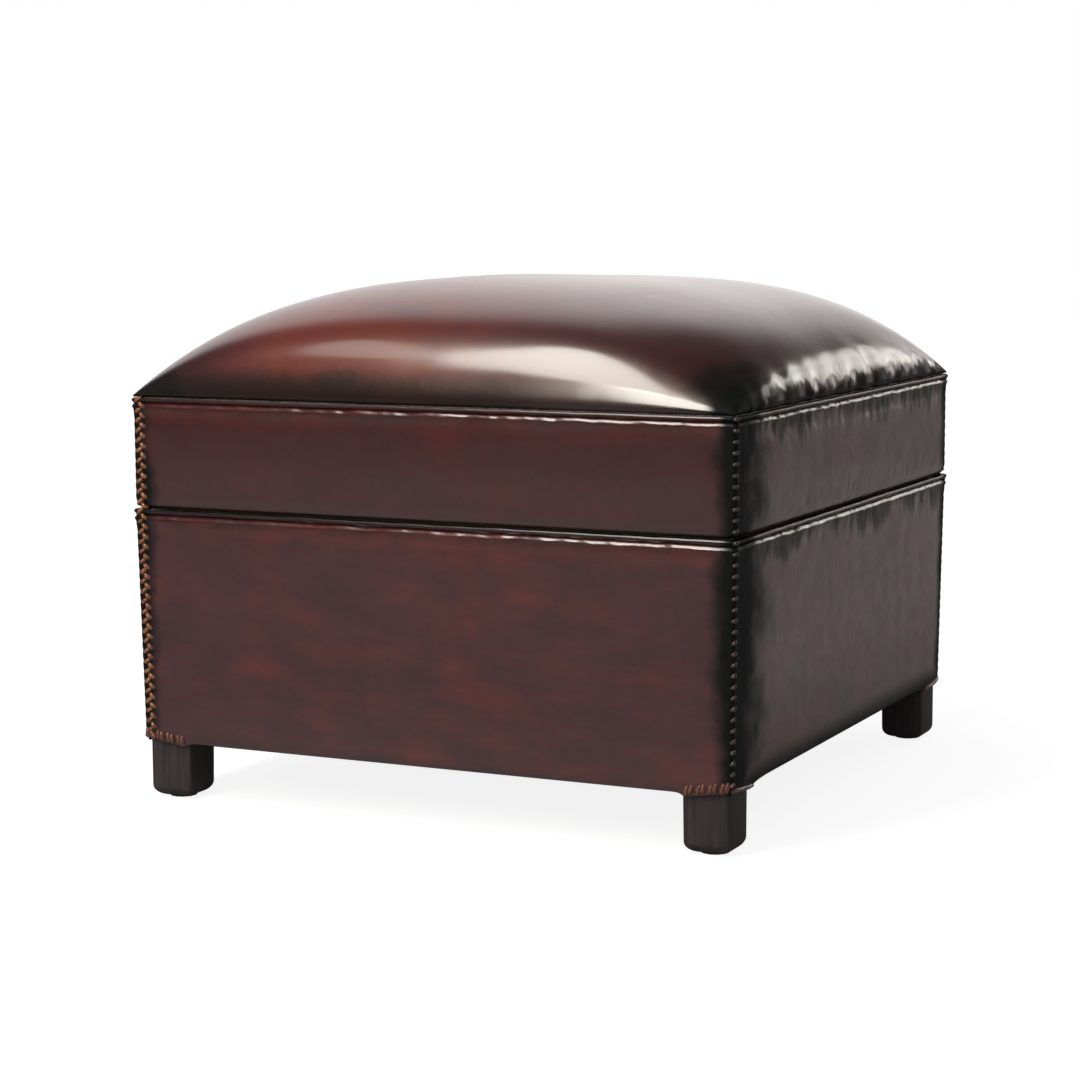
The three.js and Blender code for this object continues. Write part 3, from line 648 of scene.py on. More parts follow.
def seat_relief(points):
    """Gathers along the rim and the soft unevenness of a hand-stuffed seat."""
    depth = bpy.context.scene.stool_leather.pleat_depth
    strengths = {"front": 0.02, "right": 0.8, "back": 0.4, "left": 0.6}
    x, y = points[:, 0], points[:, 1]
    up = 0.9 * (points[:, 2] - COVER_RIM)
    relief = np.zeros(len(points))
    rims = {
        "front": (x, FACE + y + up),
        "right": (y, FACE - x + up),
        "back": (-x, FACE - y + up),
        "left": (-y, FACE + x + up),
    }
    for index, (side, (along, inward)) in enumerate(rims.items()):
        deep_folds = fold_places(
            40 + index, 10, FACE * 0.90, (8 * MM, 14 * MM), (0.5 * depth, 1.5 * depth), (18 * MM, 36 * MM)
        )
        fine_folds = fold_places(
            60 + index, 22, FACE * 0.94, (4 * MM, 7 * MM), (0.1 * depth, 0.4 * depth), (7 * MM, 14 * MM)
        )
        relief += strengths[side] * fold_relief(along, inward, deep_folds + fine_folds)
    for index, point in enumerate(points):
        broad = wander(point[0] / 0.13, point[1] / 0.13, 3)
        close = wander(point[0] / 0.045, point[1] / 0.045, 5)
        relief[index] += 0.8 * MM * broad + 0.12 * MM * close
    return relief


def seat_cover_mesh():
    bm = bmesh.new()
    bmesh.ops.create_grid(bm, x_segments=CROWN_CELLS, y_segments=CROWN_CELLS, size=1.0)
    grid = np.array([vert.co for vert in bm.verts])
    points, facing = crown_points(grid[:, 0], grid[:, 1])
    points = points + facing * seat_relief(points)[:, None]
    for vert, point in zip(bm.verts, points):
        vert.co = point
    tuck_in_rim(bm)
    return bm


def grow_rim(bm, rim):
    """Extrudes open edges, and gives the new vertices and the new open edges."""
    made = bmesh.ops.extrude_edge_only(bm, edges=rim)["geom"]
    grown = [item for item in made if isinstance(item, bmesh.types.BMVert)]
    return grown, [item for item in made if isinstance(item, bmesh.types.BMEdge) and item.is_boundary]


def tuck_in_rim(bm):
    """Draws the rim of the cover in and down to its seam."""
    steps = ((0.35, 0.30), (0.75, 0.62), (1.6, 0.86), (3.0, 1.0))
    rim = [edge for edge in bm.edges if edge.is_boundary]
    start = {vert: vert.co.copy() for edge in rim for vert in edge.verts}
    for inward, down in steps:
        grown, rim = grow_rim(bm, rim)
        following = {vert: nearest_start(vert, start) for vert in grown}
        for vert, origin in following.items():
            drawn = origin.copy()
            for axis in (0, 1):
                pull = soft_step(FACE - 6 * MM, FACE - 1 * MM, abs(origin[axis]))
                drawn[axis] -= math.copysign(inward * MM * pull, origin[axis])
            drawn.z = origin.z + down * (COVER_RIM - 1.0 * MM - origin.z)
            vert.co = drawn
        start = following


def nearest_start(vert, start):
    """The rim's first place for a vertex that was just grown on top of an old one."""
    for edge in vert.link_edges:
        other = edge.other_vert(vert)
        if other in start and (other.co - vert.co).length_squared < 1e-14:
            return start[other]
    return vert.co.copy()


# Side panels: the band and the walls

PANEL_COLUMNS = 212
CORNER_COLUMNS = 6
ROLL_ROWS = 8
BAND_TUCK_ROWS = 8
BAND_FACE_ROWS = 30
WALL_FLANGE_ROWS = 6
WALL_TURN_ROWS = 5
WALL_FACE_ROWS = 62
BAND_TUCK_DEPTH = 3.6 * MM
BAND_TUCK_HEIGHT = 10 * MM
WALL_LEAN = 3 * MM
BAND_RISE = 1.8 * MM
WALL_RISE = 1.2 * MM
BAND_ROWS = BAND_TUCK_ROWS + BAND_FACE_ROWS + ROLL_ROWS + 2
WALL_ROWS = WALL_FLANGE_ROWS + WALL_TURN_ROWS + WALL_FACE_ROWS + ROLL_ROWS + 2
SIDE_STRENGTH = {"front": 0.3, "right": 1.0, "back": 0.6, "left": 0.75}


def stitch_pitch():
    return (TOP_SEAM - MIDDLE_SEAM) / bpy.context.scene.stool_stitch.per_band


def wall_lean(z):
    """How far the wall's face stands back from the band's at a height."""
    return WALL_LEAN * (1 - (z - WALL_LOW) / (WALL_HIGH - WALL_LOW))


def stitch_heights():
    """The heights of the corner stitches, with one on each piping."""
    pitch = stitch_pitch()
    count = int((TOP_SEAM - WALL_LOW - 9 * MM) / pitch)
    return [TOP_SEAM - index * pitch for index in range(count + 1)]


class SideSeams:
    """What makes one side's hide uneven: the gathers and the rolled edge along its seams."""

    def __init__(self, side, seed):
        self.side = side
        self.seed = seed
        self.strength = SIDE_STRENGTH[side]
        depth = bpy.context.scene.stool_leather.pleat_depth * self.strength
        widths, lengths = (3.4 * MM, 6.4 * MM), (7 * MM, 15 * MM)
        folds = (27, FACE * 0.95, widths, (0.1 * depth, 0.65 * depth), lengths)
        self.under = fold_places(seed, *folds)
        self.over = fold_places(seed + 50, *folds)

    def fade(self, across):
        return 1 - soft_step(0.90, 0.985, abs(across))

    def crest(self, across):
        """How far the rolled edge stands out."""
        along = across * FACE
        rough = 0.55 * wander(along / 0.014, 0.3, self.seed) + 0.45 * wander(along / 0.033, 4.3, self.seed)
        return (1.25 + 1.5 * rough * self.fade(across)) * MM

    def lift(self, across):
        """How far the rolled edge rises."""
        along = across * FACE
        rough = wander(along / 0.017, 8.3, self.seed) + 0.6 * wander(along / 0.007, 2.3, self.seed)
        return 0.9 * rough * self.fade(across) * MM

    def gathers(self, across, below, above):
        """Relief from the folds below the upper seam and above the lower one."""
        relief = fold_at(across * FACE, max(below, 0.0), self.under)
        if above is not None:
            relief += 0.5 * fold_at(across * FACE, max(above, 0.0), self.over)
        return relief * self.fade(across)

    def waves(self, across, z):
        along = across * FACE
        broad = 0.55 * wander(along / 0.11, z / 0.07, self.seed + 1)
        close = (0.10 + 0.22 * self.strength) * wander(along / 0.028, z / 0.034, self.seed + 2)
        return (broad + close) * self.fade(across) * MM


def column_shares():
    """Places of the columns across a side from -1 to 1, closer together at the legs."""
    inner = PANEL_COLUMNS - 2 * CORNER_COLUMNS
    fine = np.linspace(-1, 1, 4001)
    at_leg = (LEG_INNER - 2 * MM) / (FACE - WALL_LEAN)
    density = 1 + 2.2 * np.exp(-(((np.abs(fine) - at_leg) / 0.03) ** 2)) + 3 * np.abs(fine) ** 24
    total = np.concatenate([[0.0], np.cumsum((density[1:] + density[:-1]) / 2)])
    return np.interp(np.linspace(0, total[-1], inner + 1), total, fine).tolist()


COLUMN_SHARES = column_shares()


def column_place(column, reach):
    """Where a column stands: place along the side, how far it drops back, and its share across."""
    radius = bpy.context.scene.stool_leather.corner_radius
    last = PANEL_COLUMNS
    hand = -1 if column < last / 2 else 1
    from_end = column if hand < 0 else last - column
    if from_end >= CORNER_COLUMNS:
        share = COLUMN_SHARES[column - CORNER_COLUMNS]
        return share * (FACE + reach - radius), 0.0, share
    steps_in = CORNER_COLUMNS - from_end
    turn_steps = CORNER_COLUMNS - 2
    angle = math.pi / 4 * min(steps_in, turn_steps) / turn_steps
    deeper = (0.0, 0.9 * MM, 2.2 * MM)[max(0, steps_in - turn_steps)]
    back = radius * (1 - math.sin(angle)) + deeper
    drop = radius * (1 - math.cos(angle)) + deeper
    return hand * (FACE + reach - back), drop, float(hand)


def stitch_pinch(z, from_corner):
    """How far each stitch draws the hide in beside the corner seam."""
    pull = (0.5 + 0.5 * math.cos(2 * math.pi * (z - TOP_SEAM) / stitch_pitch())) ** 2
    return 0.45 * MM * pull * math.exp(-((from_corner / (5 * MM)) ** 2))


def rolled_edge(row, rows, high, crest, seam):
    """One point of the edge that is rolled over to a seam, with the last one tucked in behind."""
    if row == rows:
        return -3.4 * MM, seam - 0.9 * MM, 0.0
    radius = bpy.context.scene.stool_leather.roll_radius
    angle = math.pi / 2 * (row - (rows - ROLL_ROWS - 1)) / ROLL_ROWS
    back = 0.75 * radius * (1 - math.cos(angle) ** 1.75)
    down = radius * (1 - math.sin(angle) ** 1.75)
    return crest - back, high - down, 0.4


def edge_swell(crest, below):
    """How the face swells towards its rolled edge, with a slight hollow under it."""
    hollow = 0.12 * MM * math.exp(-(((below - 9 * MM) / (5 * MM)) ** 2))
    return crest * math.exp(-below / (4 * MM)) - hollow


def band_station(row, across, seams):
    """One point of the band's section: how far it stands out, its height, and its share of the face."""
    leather = bpy.context.scene.stool_leather
    high = BAND_HIGH + BAND_RISE + seams.lift(across)
    crest = seams.crest(across)
    if row == 0:
        return -BAND_TUCK_DEPTH - 3 * MM, BAND_LOW + 0.3 * MM, 0.0
    if row <= BAND_TUCK_ROWS:
        angle = math.pi / 2 * (row - 1) / (BAND_TUCK_ROWS - 1) - math.pi / 2
        out = BAND_TUCK_DEPTH * (math.cos(angle) - 1)
        return out, BAND_LOW + BAND_TUCK_HEIGHT * (1 + math.sin(angle)), 0.3
    if row >= BAND_ROWS - ROLL_ROWS - 1:
        return rolled_edge(row, BAND_ROWS, high, crest, TOP_SEAM)
    low_z = BAND_LOW + BAND_TUCK_HEIGHT
    part = (row - BAND_TUCK_ROWS) / (BAND_FACE_ROWS + 1)
    z = low_z + part * (high - leather.roll_radius - low_z)
    below = high - leather.roll_radius - z
    belly = leather.belly * math.sin(math.pi * part) * seams.fade(across)
    out = belly + edge_swell(crest, below) + seams.gathers(across, below, z - low_z)
    return out + seams.waves(across, z) * soft_step(0, 0.12, part), z, 1.0


def wall_edge(across, side):
    """The lower edge there: its height, the turned-under radius and the flange's reach."""
    curve, drop, climb, low = (9, 2.7, 5.4, 4) if side in ("front", "back") else (44, 4, 4, 7)
    end = FACE - WALL_LEAN - bpy.context.scene.stool_leather.corner_radius
    place = abs(across) * end
    at_leg = LEG_INNER + 6 * MM
    part = min(1.0, max(0.0, (at_leg - place) / (curve * MM)))
    rise = math.sqrt(1 - (1 - part) ** 2)
    over_leg = 1 - rise
    past = max(0.0, (place - at_leg) / (end - at_leg))
    edge = WALL_LOW + (low - drop * over_leg + climb * past) * MM
    return edge, 3 * MM - over_leg * 2.2 * MM, 26 * MM * soft_step(0.2, 1, rise) + 0.4 * MM


def wall_station(row, across, seams):
    """One point of the wall's section, from the flange turned under it up to its rolled edge."""
    leather = bpy.context.scene.stool_leather
    turn = WALL_FLANGE_ROWS + WALL_TURN_ROWS
    low, under, flange = wall_edge(across, seams.side)
    high = WALL_HIGH + WALL_RISE + seams.lift(across)
    crest = seams.crest(across)
    if row < WALL_FLANGE_ROWS:
        part = 1 - row / WALL_FLANGE_ROWS
        return -WALL_LEAN - under - flange * part, low, 0.0
    if row <= turn:
        angle = math.pi / 2 * (row - WALL_FLANGE_ROWS) / WALL_TURN_ROWS - math.pi / 2
        return -WALL_LEAN - under * (1 - math.cos(angle)), low + under * (1 + math.sin(angle)), 0.2
    if row >= WALL_ROWS - ROLL_ROWS - 1:
        return rolled_edge(row, WALL_ROWS, high, crest, MIDDLE_SEAM)
    part = (row - turn) / (WALL_FACE_ROWS + 1)
    z = low + under + part * (high - leather.roll_radius - low - under)
    below = high - leather.roll_radius - z
    belly = 0.8 * leather.belly * math.sin(math.pi * part) * seams.fade(across)
    out = belly - wall_lean(z) + edge_swell(crest, below) + seams.gathers(across, below, None)
    return out + seams.waves(across, z) * soft_step(0, 0.08, part), z, 1.0


def panel_mesh(index, rows, station, seams):
    """One side's panel, shaped on the front side and turned to its own."""
    bm = bmesh.new()
    bmesh.ops.create_grid(bm, x_segments=PANEL_COLUMNS, y_segments=rows, size=1.0)
    for vert in bm.verts:
        column = round((vert.co.x + 1) * PANEL_COLUMNS / 2)
        row = round((vert.co.y + 1) * rows / 2)
        share = column_place(column, 0.0)[2]
        reach, z, face_share = station(row, share, seams)
        along, drop, share = column_place(column, reach)
        from_corner = max(0.0, FACE + reach - abs(along))
        pinch = stitch_pinch(z, from_corner) * face_share
        vert.co = (along - math.copysign(pinch * 0.5, along), -(FACE + reach - drop - pinch), z)
    bmesh.ops.rotate(bm, verts=bm.verts, cent=(0, 0, 0), matrix=quarter_turn(index))
    return bm


# Pipings

def piping_mesh(height, seed):
    """A round cord covered in leather that follows all four sides, with its seam allowance inside."""
    radius = bpy.context.scene.stool_leather.piping_radius
    turn = 4 * MM
    face = FACE + 0.3 * MM
    straight = face - turn
    bm = bmesh.new()
    start = Matrix.Translation((0, -face, height)) @ Matrix.Rotation(math.pi / 2, 4, "Y")
    bmesh.ops.create_circle(bm, cap_ends=False, segments=12, radius=radius, matrix=start)
    geometry = bm.verts[:] + bm.edges[:]
    runs = 92
    for corner in range(4):
        direction = quarter_turn(corner) @ Vector((1, 0, 0))
        centre = quarter_turn(corner) @ Vector((straight, -straight, height))
        geometry = run_straight(bm, geometry, direction * straight, runs)
        made = bmesh.ops.spin(
            bm, geom=geometry, cent=centre, axis=(0, 0, 1), angle=math.pi / 2, steps=6, use_duplicate=False
        )
        geometry = made["geom_last"]
        direction = quarter_turn(corner + 1) @ Vector((1, 0, 0))
        geometry = run_straight(bm, geometry, direction * straight, runs)
    bmesh.ops.remove_doubles(bm, verts=bm.verts, dist=0.05 * MM)
    for vert in bm.verts:
        loosen_piping(vert, height, seed)
    bmesh.ops.recalc_face_normals(bm, faces=bm.faces)
    add_piping_tail(bm, height)
    return bm


def run_straight(bm, geometry, travel, steps):
    """Draws the last ring of a cord along a straight line."""
    made = bmesh.ops.spin(
        bm,
        geom=geometry,
        cent=(0, 0, 0),
        axis=(0, 0, 1),
        dvec=travel / steps,
        angle=0.0,
        steps=steps,
        use_duplicate=False,
    )
    return made["geom_last"]


def loosen_piping(vert, height, seed):
    """Makes the cord a little uneven, as hand-sewn piping is."""
    x, y, z = vert.co
    spot = Vector((x / 0.022, y / 0.022, seed))
    fine = Vector((x / 0.008, y / 0.008, seed + 3))
    swell = 1 + 0.10 * noise.noise(spot) + 0.06 * noise.noise(fine)
    sway = 0.35 * MM * noise.noise(spot + Vector((7, 7, 0)))
    vert.co.z = height + (z - height) * swell + sway


def add_piping_tail(bm, height):
    """The flat seam allowance that is sewn between the panels."""
    made = bmesh.ops.create_grid(
        bm, x_segments=1, y_segments=1, size=FACE - 1.5 * MM, matrix=Matrix.Translation((0, 0, height - MM))
    )
    plate = {face for vert in made["verts"] for face in vert.link_faces}
    bmesh.ops.inset_region(bm, faces=list(plate), thickness=7 * MM)
    bmesh.ops.delete(bm, geom=list(plate), context="FACES_ONLY")
    ring = [face for face in bm.faces if all(abs(vert.co.z - height + MM) < 1e-7 for vert in face.verts)]
    ring = [face for face in ring if abs(face.normal.z) > 0.9 and face.calc_area() > 1e-4]
    bmesh.ops.reverse_faces(bm, faces=ring)
    grown = bmesh.ops.extrude_face_region(bm, geom=ring, use_keep_orig=True)["geom"]
    upper = [item for item in grown if isinstance(item, bmesh.types.BMVert)]
    bmesh.ops.translate(bm, verts=upper, vec=(0, 0, 2 * MM))
    bmesh.ops.recalc_face_normals(bm, faces=bm.faces)


# Stitches

def add_stitch(bm, middle, direction, outward, bend, lift, radius, sweep=150.0):
    """One thread that comes out of the hide, crosses it along a direction and dives back in."""
    direction = direction.normalized()
    angle = math.radians(sweep)
    centre = middle + outward * (lift - bend)
    first = -angle / 2
    place = centre + bend * (outward * math.cos(first) + direction * math.sin(first))
    tangent = direction * math.cos(first) - outward * math.sin(first)
    start = Matrix.Translation(place) @ tangent.to_track_quat("Z", "Y").to_matrix().to_4x4()
    bead = bmesh.new()
    bmesh.ops.create_circle(bead, cap_ends=True, segments=6, radius=radius, matrix=start)
    bmesh.ops.spin(
        bead,
        geom=bead.verts[:] + bead.edges[:] + bead.faces[:],
        cent=centre,
        axis=outward.cross(direction),
        angle=angle,
        steps=8,
        use_duplicate=False,
    )
    bmesh.ops.recalc_face_normals(bead, faces=bead.faces)
    mesh = bpy.data.meshes.new("stitch")
    bead.to_mesh(mesh)
    bead.free()
    bm.from_mesh(mesh)
    bpy.data.meshes.remove(mesh)


# The inset from the corner in mm, shift in pitches, slope, lift in mm and thickness of each strand
BRAID = ((5.8, 0.0, 0.75, 0.2, 1.4), (9.8, 0.5, -0.75, 0.6, 1.4))
FLAT_STITCH = ((4.2, 0.25, 0.3, -1.0, 0.8),)


def on_piping(z):
    return min(abs(z - TOP_SEAM), abs(z - MIDDLE_SEAM)) < 4 * MM


def corner_face(face):
    """The directions out of one face at a corner and level along it, towards the corner."""
    ahead, across = Vector((0, -1, 0)), Vector((1, 0, 0))
    return (across, ahead) if face else (ahead, across)


def laced_corner(bm, z, share, draw):
    """One small bead on the corner's ridge, more slanted lower down."""
    reach = FACE - max(0.0, wall_lean(z))
    middle = Vector((reach + 0.4 * MM, 0.3 * MM - reach, z))
    outward = Vector((1, -1, 0)).normalized()
    slant = 0.15 + 0.75 * share + draw.uniform(-0.08, 0.08)
    direction = Vector((1, 1, 0)).normalized() + Vector((0, 0, slant))
    lift = (1.0 if on_piping(z) else -0.3) * MM + draw.uniform(-0.1, 0.15) * MM
    radius = bpy.context.scene.stool_stitch.thickness * draw.uniform(1.12, 1.28) / 2
    add_stitch(bm, middle, direction, outward, 1.3 * MM, lift, radius, 200)


def braided_corner(bm, z, broad_face, draw):
    """A braid on the front or back panel, and small flat stitches round on the side panel."""
    thickness = bpy.context.scene.stool_stitch.thickness
    reach = FACE - max(0.0, wall_lean(z))
    for face in (0, 1):
        out, level = corner_face(face)
        for inset, shift, slope, lift, size in BRAID if face == broad_face else FLAT_STITCH:
            middle = out * reach + level * (reach - inset * MM)
            middle.z = z - shift * stitch_pitch() + draw.uniform(-0.3, 0.3) * MM
            direction = Vector((0, 0, slope + draw.uniform(-0.2, 0.2))) - level
            lift = (lift + (1.3 if on_piping(z) else 0.0)) * MM
            radius = thickness * size * draw.uniform(0.92, 1.08) / 2
            add_stitch(bm, middle, direction, out, 2.6 * MM, lift, radius, 170)


def corner_stitch_mesh(index):
    """The waxed thread that laces two panels together down one corner."""
    draw = random.Random(100 + index)
    heights = stitch_heights()
    bm = bmesh.new()
    for number, z in enumerate(heights):
        if CORNERS[index] == "front_right":
            laced_corner(bm, z, number / (len(heights) - 1), draw)
        else:
            braided_corner(bm, z, index % 2, draw)
    bmesh.ops.rotate(bm, verts=bm.verts, cent=(0, 0, 0), matrix=quarter_turn(index))
    return bm


def add_strand(bm, centre, level, out, tilt, size):
    """One strand of a heavy doubled stitch: a grain-shaped bead half sunk in the hide."""
    along = (Vector((0, 0, 1)) + level * tilt).normalized()
    across = along.cross(out)
    turned = Matrix((across, out, along)).transposed().to_4x4()
    shape = Matrix.Diagonal((2.3 * MM * size, 2.7 * MM * size, 4.6 * MM * size, 1.0))
    place = Matrix.Translation(centre) @ turned @ shape
    bmesh.ops.create_uvsphere(bm, u_segments=14, v_segments=10, radius=1.0, matrix=place)


def heavy_stitches(bm, out, level, surface, draw):
    """Four pairs of strands, side by side on one face."""
    for step in range(4):
        middle = out * surface + level * (LEG_INNER + (9.9 + 10.3 * step) * MM)
        middle.z = WALL_LOW + (6.9 + 1.4 * step) * MM
        for strand in (-1, 1):
            centre = middle + level * (strand * 1.9 * MM) + Vector((0, 0, strand * 0.5 * MM))
            tilt = draw.uniform(0.15, 0.35)
            add_strand(bm, centre, level, out, tilt, draw.uniform(0.92, 1.08))


def leg_stitch_mesh(index):
    """Heavy stitches over one leg: four on one face, and one long thread on the other."""
    draw = random.Random(200 + index)
    bm = bmesh.new()
    surface = FACE - WALL_LEAN
    for face in (0, 1):
        out, level = corner_face(face)
        if face == index % 2:
            heavy_stitches(bm, out, level, surface, draw)
        else:
            middle = out * surface + level * (surface - 24 * MM)
            middle.z = WALL_LOW + 7.2 * MM
            direction = Vector((0, 0, -0.084)) - level
            add_stitch(bm, middle, direction, out, 110 * MM, 0.9 * MM, 2.1 * MM, 24)
    bmesh.ops.rotate(bm, verts=bm.verts, cent=(0, 0, 0), matrix=quarter_turn(index))
    return bm


# Legs

def round_edges(bm, edges, offset, segments, clamp=False):
    bmesh.ops.bevel(
        bm,
        geom=edges,
        offset=offset,
        offset_type="OFFSET",
        affect="EDGES",
        segments=segments,
        profile=0.5,
        material=-1,
        clamp_overlap=clamp,
    )


def leg_mesh(index):
    """A square leg, drawn in on its inner faces at the floor, with its lower edges well rounded."""
    low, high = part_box("leg_" + CORNERS[index])
    low.z -= 1.5 * MM
    centre = (low + high) / 2
    bm = bmesh.new()
    bmesh.ops.create_cube(bm, size=1.0)
    bmesh.ops.scale(bm, verts=bm.verts, vec=high - low)
    bmesh.ops.translate(bm, verts=bm.verts, vec=centre)
    for vert in bm.verts:
        for axis in (0, 1):
            if vert.co.z < centre.z and abs(vert.co[axis]) < abs(centre[axis]):
                vert.co[axis] += math.copysign(3.5 * MM, centre[axis])
    foot = [edge for edge in bm.edges if all(vert.co.z < low.z + 0.1 * MM for vert in edge.verts)]
    round_edges(bm, foot, bpy.context.scene.stool_wood.foot_rounding, 6)
    uprights = [
        edge
        for edge in bm.edges
        if edge.is_manifold
        and edge.calc_face_angle() > 0.5
        and any(vert.co.z < high.z - 1 * MM for vert in edge.verts)
    ]
    round_edges(bm, uprights, 2.4 * MM, 3, clamp=True)
    bmesh.ops.recalc_face_normals(bm, faces=bm.faces)
    return bm


# Padding and suspension inside

HESSIAN_TOP = 0.19
TWINE_TOP = 0.186


def crown_skin(half, low, height, cells):
    """An open sheet in the shape of the crown, for what lies under the cover."""
    bm = bmesh.new()
    bmesh.ops.create_grid(bm, x_segments=cells, y_segments=cells, size=1.0)
    for vert in bm.verts:
        u = 1.1 * vert.co.x - 0.1 * vert.co.x * abs(vert.co.x) ** 8
        v = 1.1 * vert.co.y - 0.1 * vert.co.y * abs(vert.co.y) ** 8
        fall = max(0.0, (1 - abs(u) ** CROWN_POWER) * (1 - abs(v) ** CROWN_POWER))
        lumps = 0.8 * MM * wander(u * half / 0.02, v * half / 0.02, 11)
        vert.co = (u * half, v * half, low + height * math.sqrt(fall) + min(0.0, lumps))
    return bm


def cotton_mesh():
    low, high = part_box("wadding")
    return crown_skin(high.x - 0.3 * MM, low.z, high.z - low.z - 0.2 * MM, 90)


def stuffing_mesh():
    """A block of curled hair, crowned above, and hollow where it sits over the sprung platform."""
    low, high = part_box("stuffing")
    bm = crown_skin(high.x - 9 * MM, TOP_SEAM + 1.8 * MM, high.z - TOP_SEAM - 2.4 * MM, 72)
    rim = [edge for edge in bm.edges if edge.is_boundary]
    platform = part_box("hessian")
    outlines = (
        (high.x - 9 * MM, TOP_SEAM - 1.5 * MM),
        (high.x - 1 * MM, TOP_SEAM - 2.5 * MM),
        (high.x - 1 * MM, (TOP_SEAM + low.z) / 2),
        (high.x - 1 * MM, low.z + 0.4 * MM),
        (platform[1].x + 2.5 * MM, low.z + 0.4 * MM),
        (high.x - 90 * MM, platform[1].z + 2 * MM),
    )
    for half, z in outlines:
        grown, rim = grow_rim(bm, rim)
        for vert in grown:
            outer = max(abs(vert.co.x), abs(vert.co.y))
            vert.co = (vert.co.x * half / outer, vert.co.y * half / outer, z)
    bmesh.ops.holes_fill(bm, edges=rim, sides=0)
    bmesh.ops.recalc_face_normals(bm, faces=bm.faces)
    return bm


def platform_height(x, y, low, high, foot):
    """The height of the stretched hessian: a flat top with sides that slope to the rails."""
    outer = max(abs(x), abs(y))
    if outer <= HESSIAN_TOP:
        return high
    return high + (low - high) * (outer - HESSIAN_TOP) / (foot - HESSIAN_TOP)


def hessian_mesh():
    low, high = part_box("hessian")
    bm = bmesh.new()
    bmesh.ops.create_grid(bm, x_segments=72, y_segments=72, size=high.x - 0.2 * MM)
    for vert in bm.verts:
        x, y = vert.co.x, vert.co.y
        z = platform_height(x, y, low.z + 1.4 * MM, high.z - 0.2 * MM, high.x)
        vert.co.z = z - 0.5 * MM * abs(wander(x / 0.05, y / 0.05, 21))
    bmesh.ops.smooth_vert(bm, verts=bm.verts, factor=0.5, use_axis_z=True)
    return bm


def strap_places():
    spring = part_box("seat_spring_1")
    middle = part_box("seat_spring_5")
    step = abs((spring[0].x + spring[1].x) - (middle[0].x + middle[1].x)) / 4
    return [step * index for index in (-2, -1, 0, 1, 2)]


def webbing_mesh():
    """Five jute straps each way, woven over and under each other."""
    low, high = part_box("webbing")
    bm = bmesh.new()
    reach = high.x
    places = strap_places()
    for direction in (0, 1):
        for number, across in enumerate(places):
            made = bmesh.ops.create_grid(bm, x_segments=64, y_segments=4, size=1.0)["verts"]
            for vert in made:
                along, offset = vert.co.x * reach, vert.co.y * 25 * MM
                turns = (along - places[0]) / (places[1] - places[0])
                sign = 1 if (number + direction) % 2 else -1
                inside = 1 - soft_step(abs(places[0]) + 20 * MM, reach - 4 * MM, abs(along))
                z = (low.z + high.z) / 2 + sign * 0.85 * MM * math.cos(math.pi * turns) * inside
                place = (along, across + offset) if direction == 0 else (across - offset, along)
                vert.co = (*place, z)
    return bm


def twine_mesh():
    """Lashing twine from rail to rail over each row of springs."""
    low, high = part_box("spring_twine")
    radius = 1.1 * MM
    foot = (high.x - 1 * MM, low.z + radius)
    top = (TWINE_TOP, high.z - radius)
    points = [Vector((x, 0, z)) for x, z in ((-foot[0], foot[1]), (-top[0], top[1]), top, foot)]
    bm = bmesh.new()
    for direction in (0, 1):
        turn = Matrix.Rotation(direction * math.pi / 2, 4, "Z")
        for across in strap_places()[::2]:
            start = turn @ Matrix.Translation(points[0] + Vector((0, across, 0)))
            start = start @ Matrix.Rotation(math.pi / 2, 4, "Y")
            made = bmesh.ops.create_circle(bm, cap_ends=True, segments=8, radius=radius, matrix=start)
            ring = made["verts"]
            faces = {face for vert in ring for face in vert.link_faces}
            edges = {edge for vert in ring for edge in vert.link_edges}
            geometry = [*ring, *edges, *faces]
            for first, last in zip(points, points[1:]):
                geometry = run_straight(bm, geometry, turn @ (last - first), 30)
    bmesh.ops.recalc_face_normals(bm, faces=bm.faces)
    return bm


def dust_cloth_mesh():
    """Black cambric under the frame, notched round the legs."""
    low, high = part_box("dust_cover")
    edge = high.x
    notch = LEG_INNER - 0.5 * MM
    bm = bmesh.new()
    cells = 90
    bmesh.ops.create_grid(bm, x_segments=cells, y_segments=cells, size=edge)
    step = 2 * edge / cells
    for vert in bm.verts:
        for axis in (0, 1):
            if abs(abs(vert.co[axis]) - notch) < step / 2:
                vert.co[axis] = math.copysign(notch, vert.co[axis])
    inside = [
        face
        for face in bm.faces
        if min(abs(face.calc_center_median().x), abs(face.calc_center_median().y)) > notch
    ]
    bmesh.ops.delete(bm, geom=inside, context="FACES")
    for vert in bm.verts:
        ripple = 0.25 * MM * wander(vert.co.x / 0.04, vert.co.y / 0.04, 31)
        vert.co.z = (low.z + high.z) / 2 + 0.3 * MM + ripple
    return bm


# Operators

def get_material(name, maker, *extra, **options):
    return bpy.data.materials.get(name) or maker(name, *extra, **options)


def make_panels(context, kind, stands_for, rows, station, seed):
    """Four panels of side leather, each with gathers of its own."""
    hide = get_material("side_hide", leather_finish)
    for index, side in enumerate(SIDES):
        bm = panel_mesh(index, rows, station, SideSeams(side, seed + index))
        piece = finish_piece(kind + side, bm, hide, [stands_for + side])
        give_thickness(piece, context.scene.stool_leather.thickness)


class STOOL_OT_seat_cover(bpy.types.Operator):
    """Makes the crowned leather cover of the seat"""

    bl_idname = "stool.seat_cover"
    bl_label = "Seat Cover"

    def execute(self, context):
        hide = get_material("crown_hide", leather_finish, crown=True)
        piece = finish_piece("seat_cover", seat_cover_mesh(), hide, ["top_cover"])
        give_thickness(piece, context.scene.stool_leather.thickness)
        return {"FINISHED"}


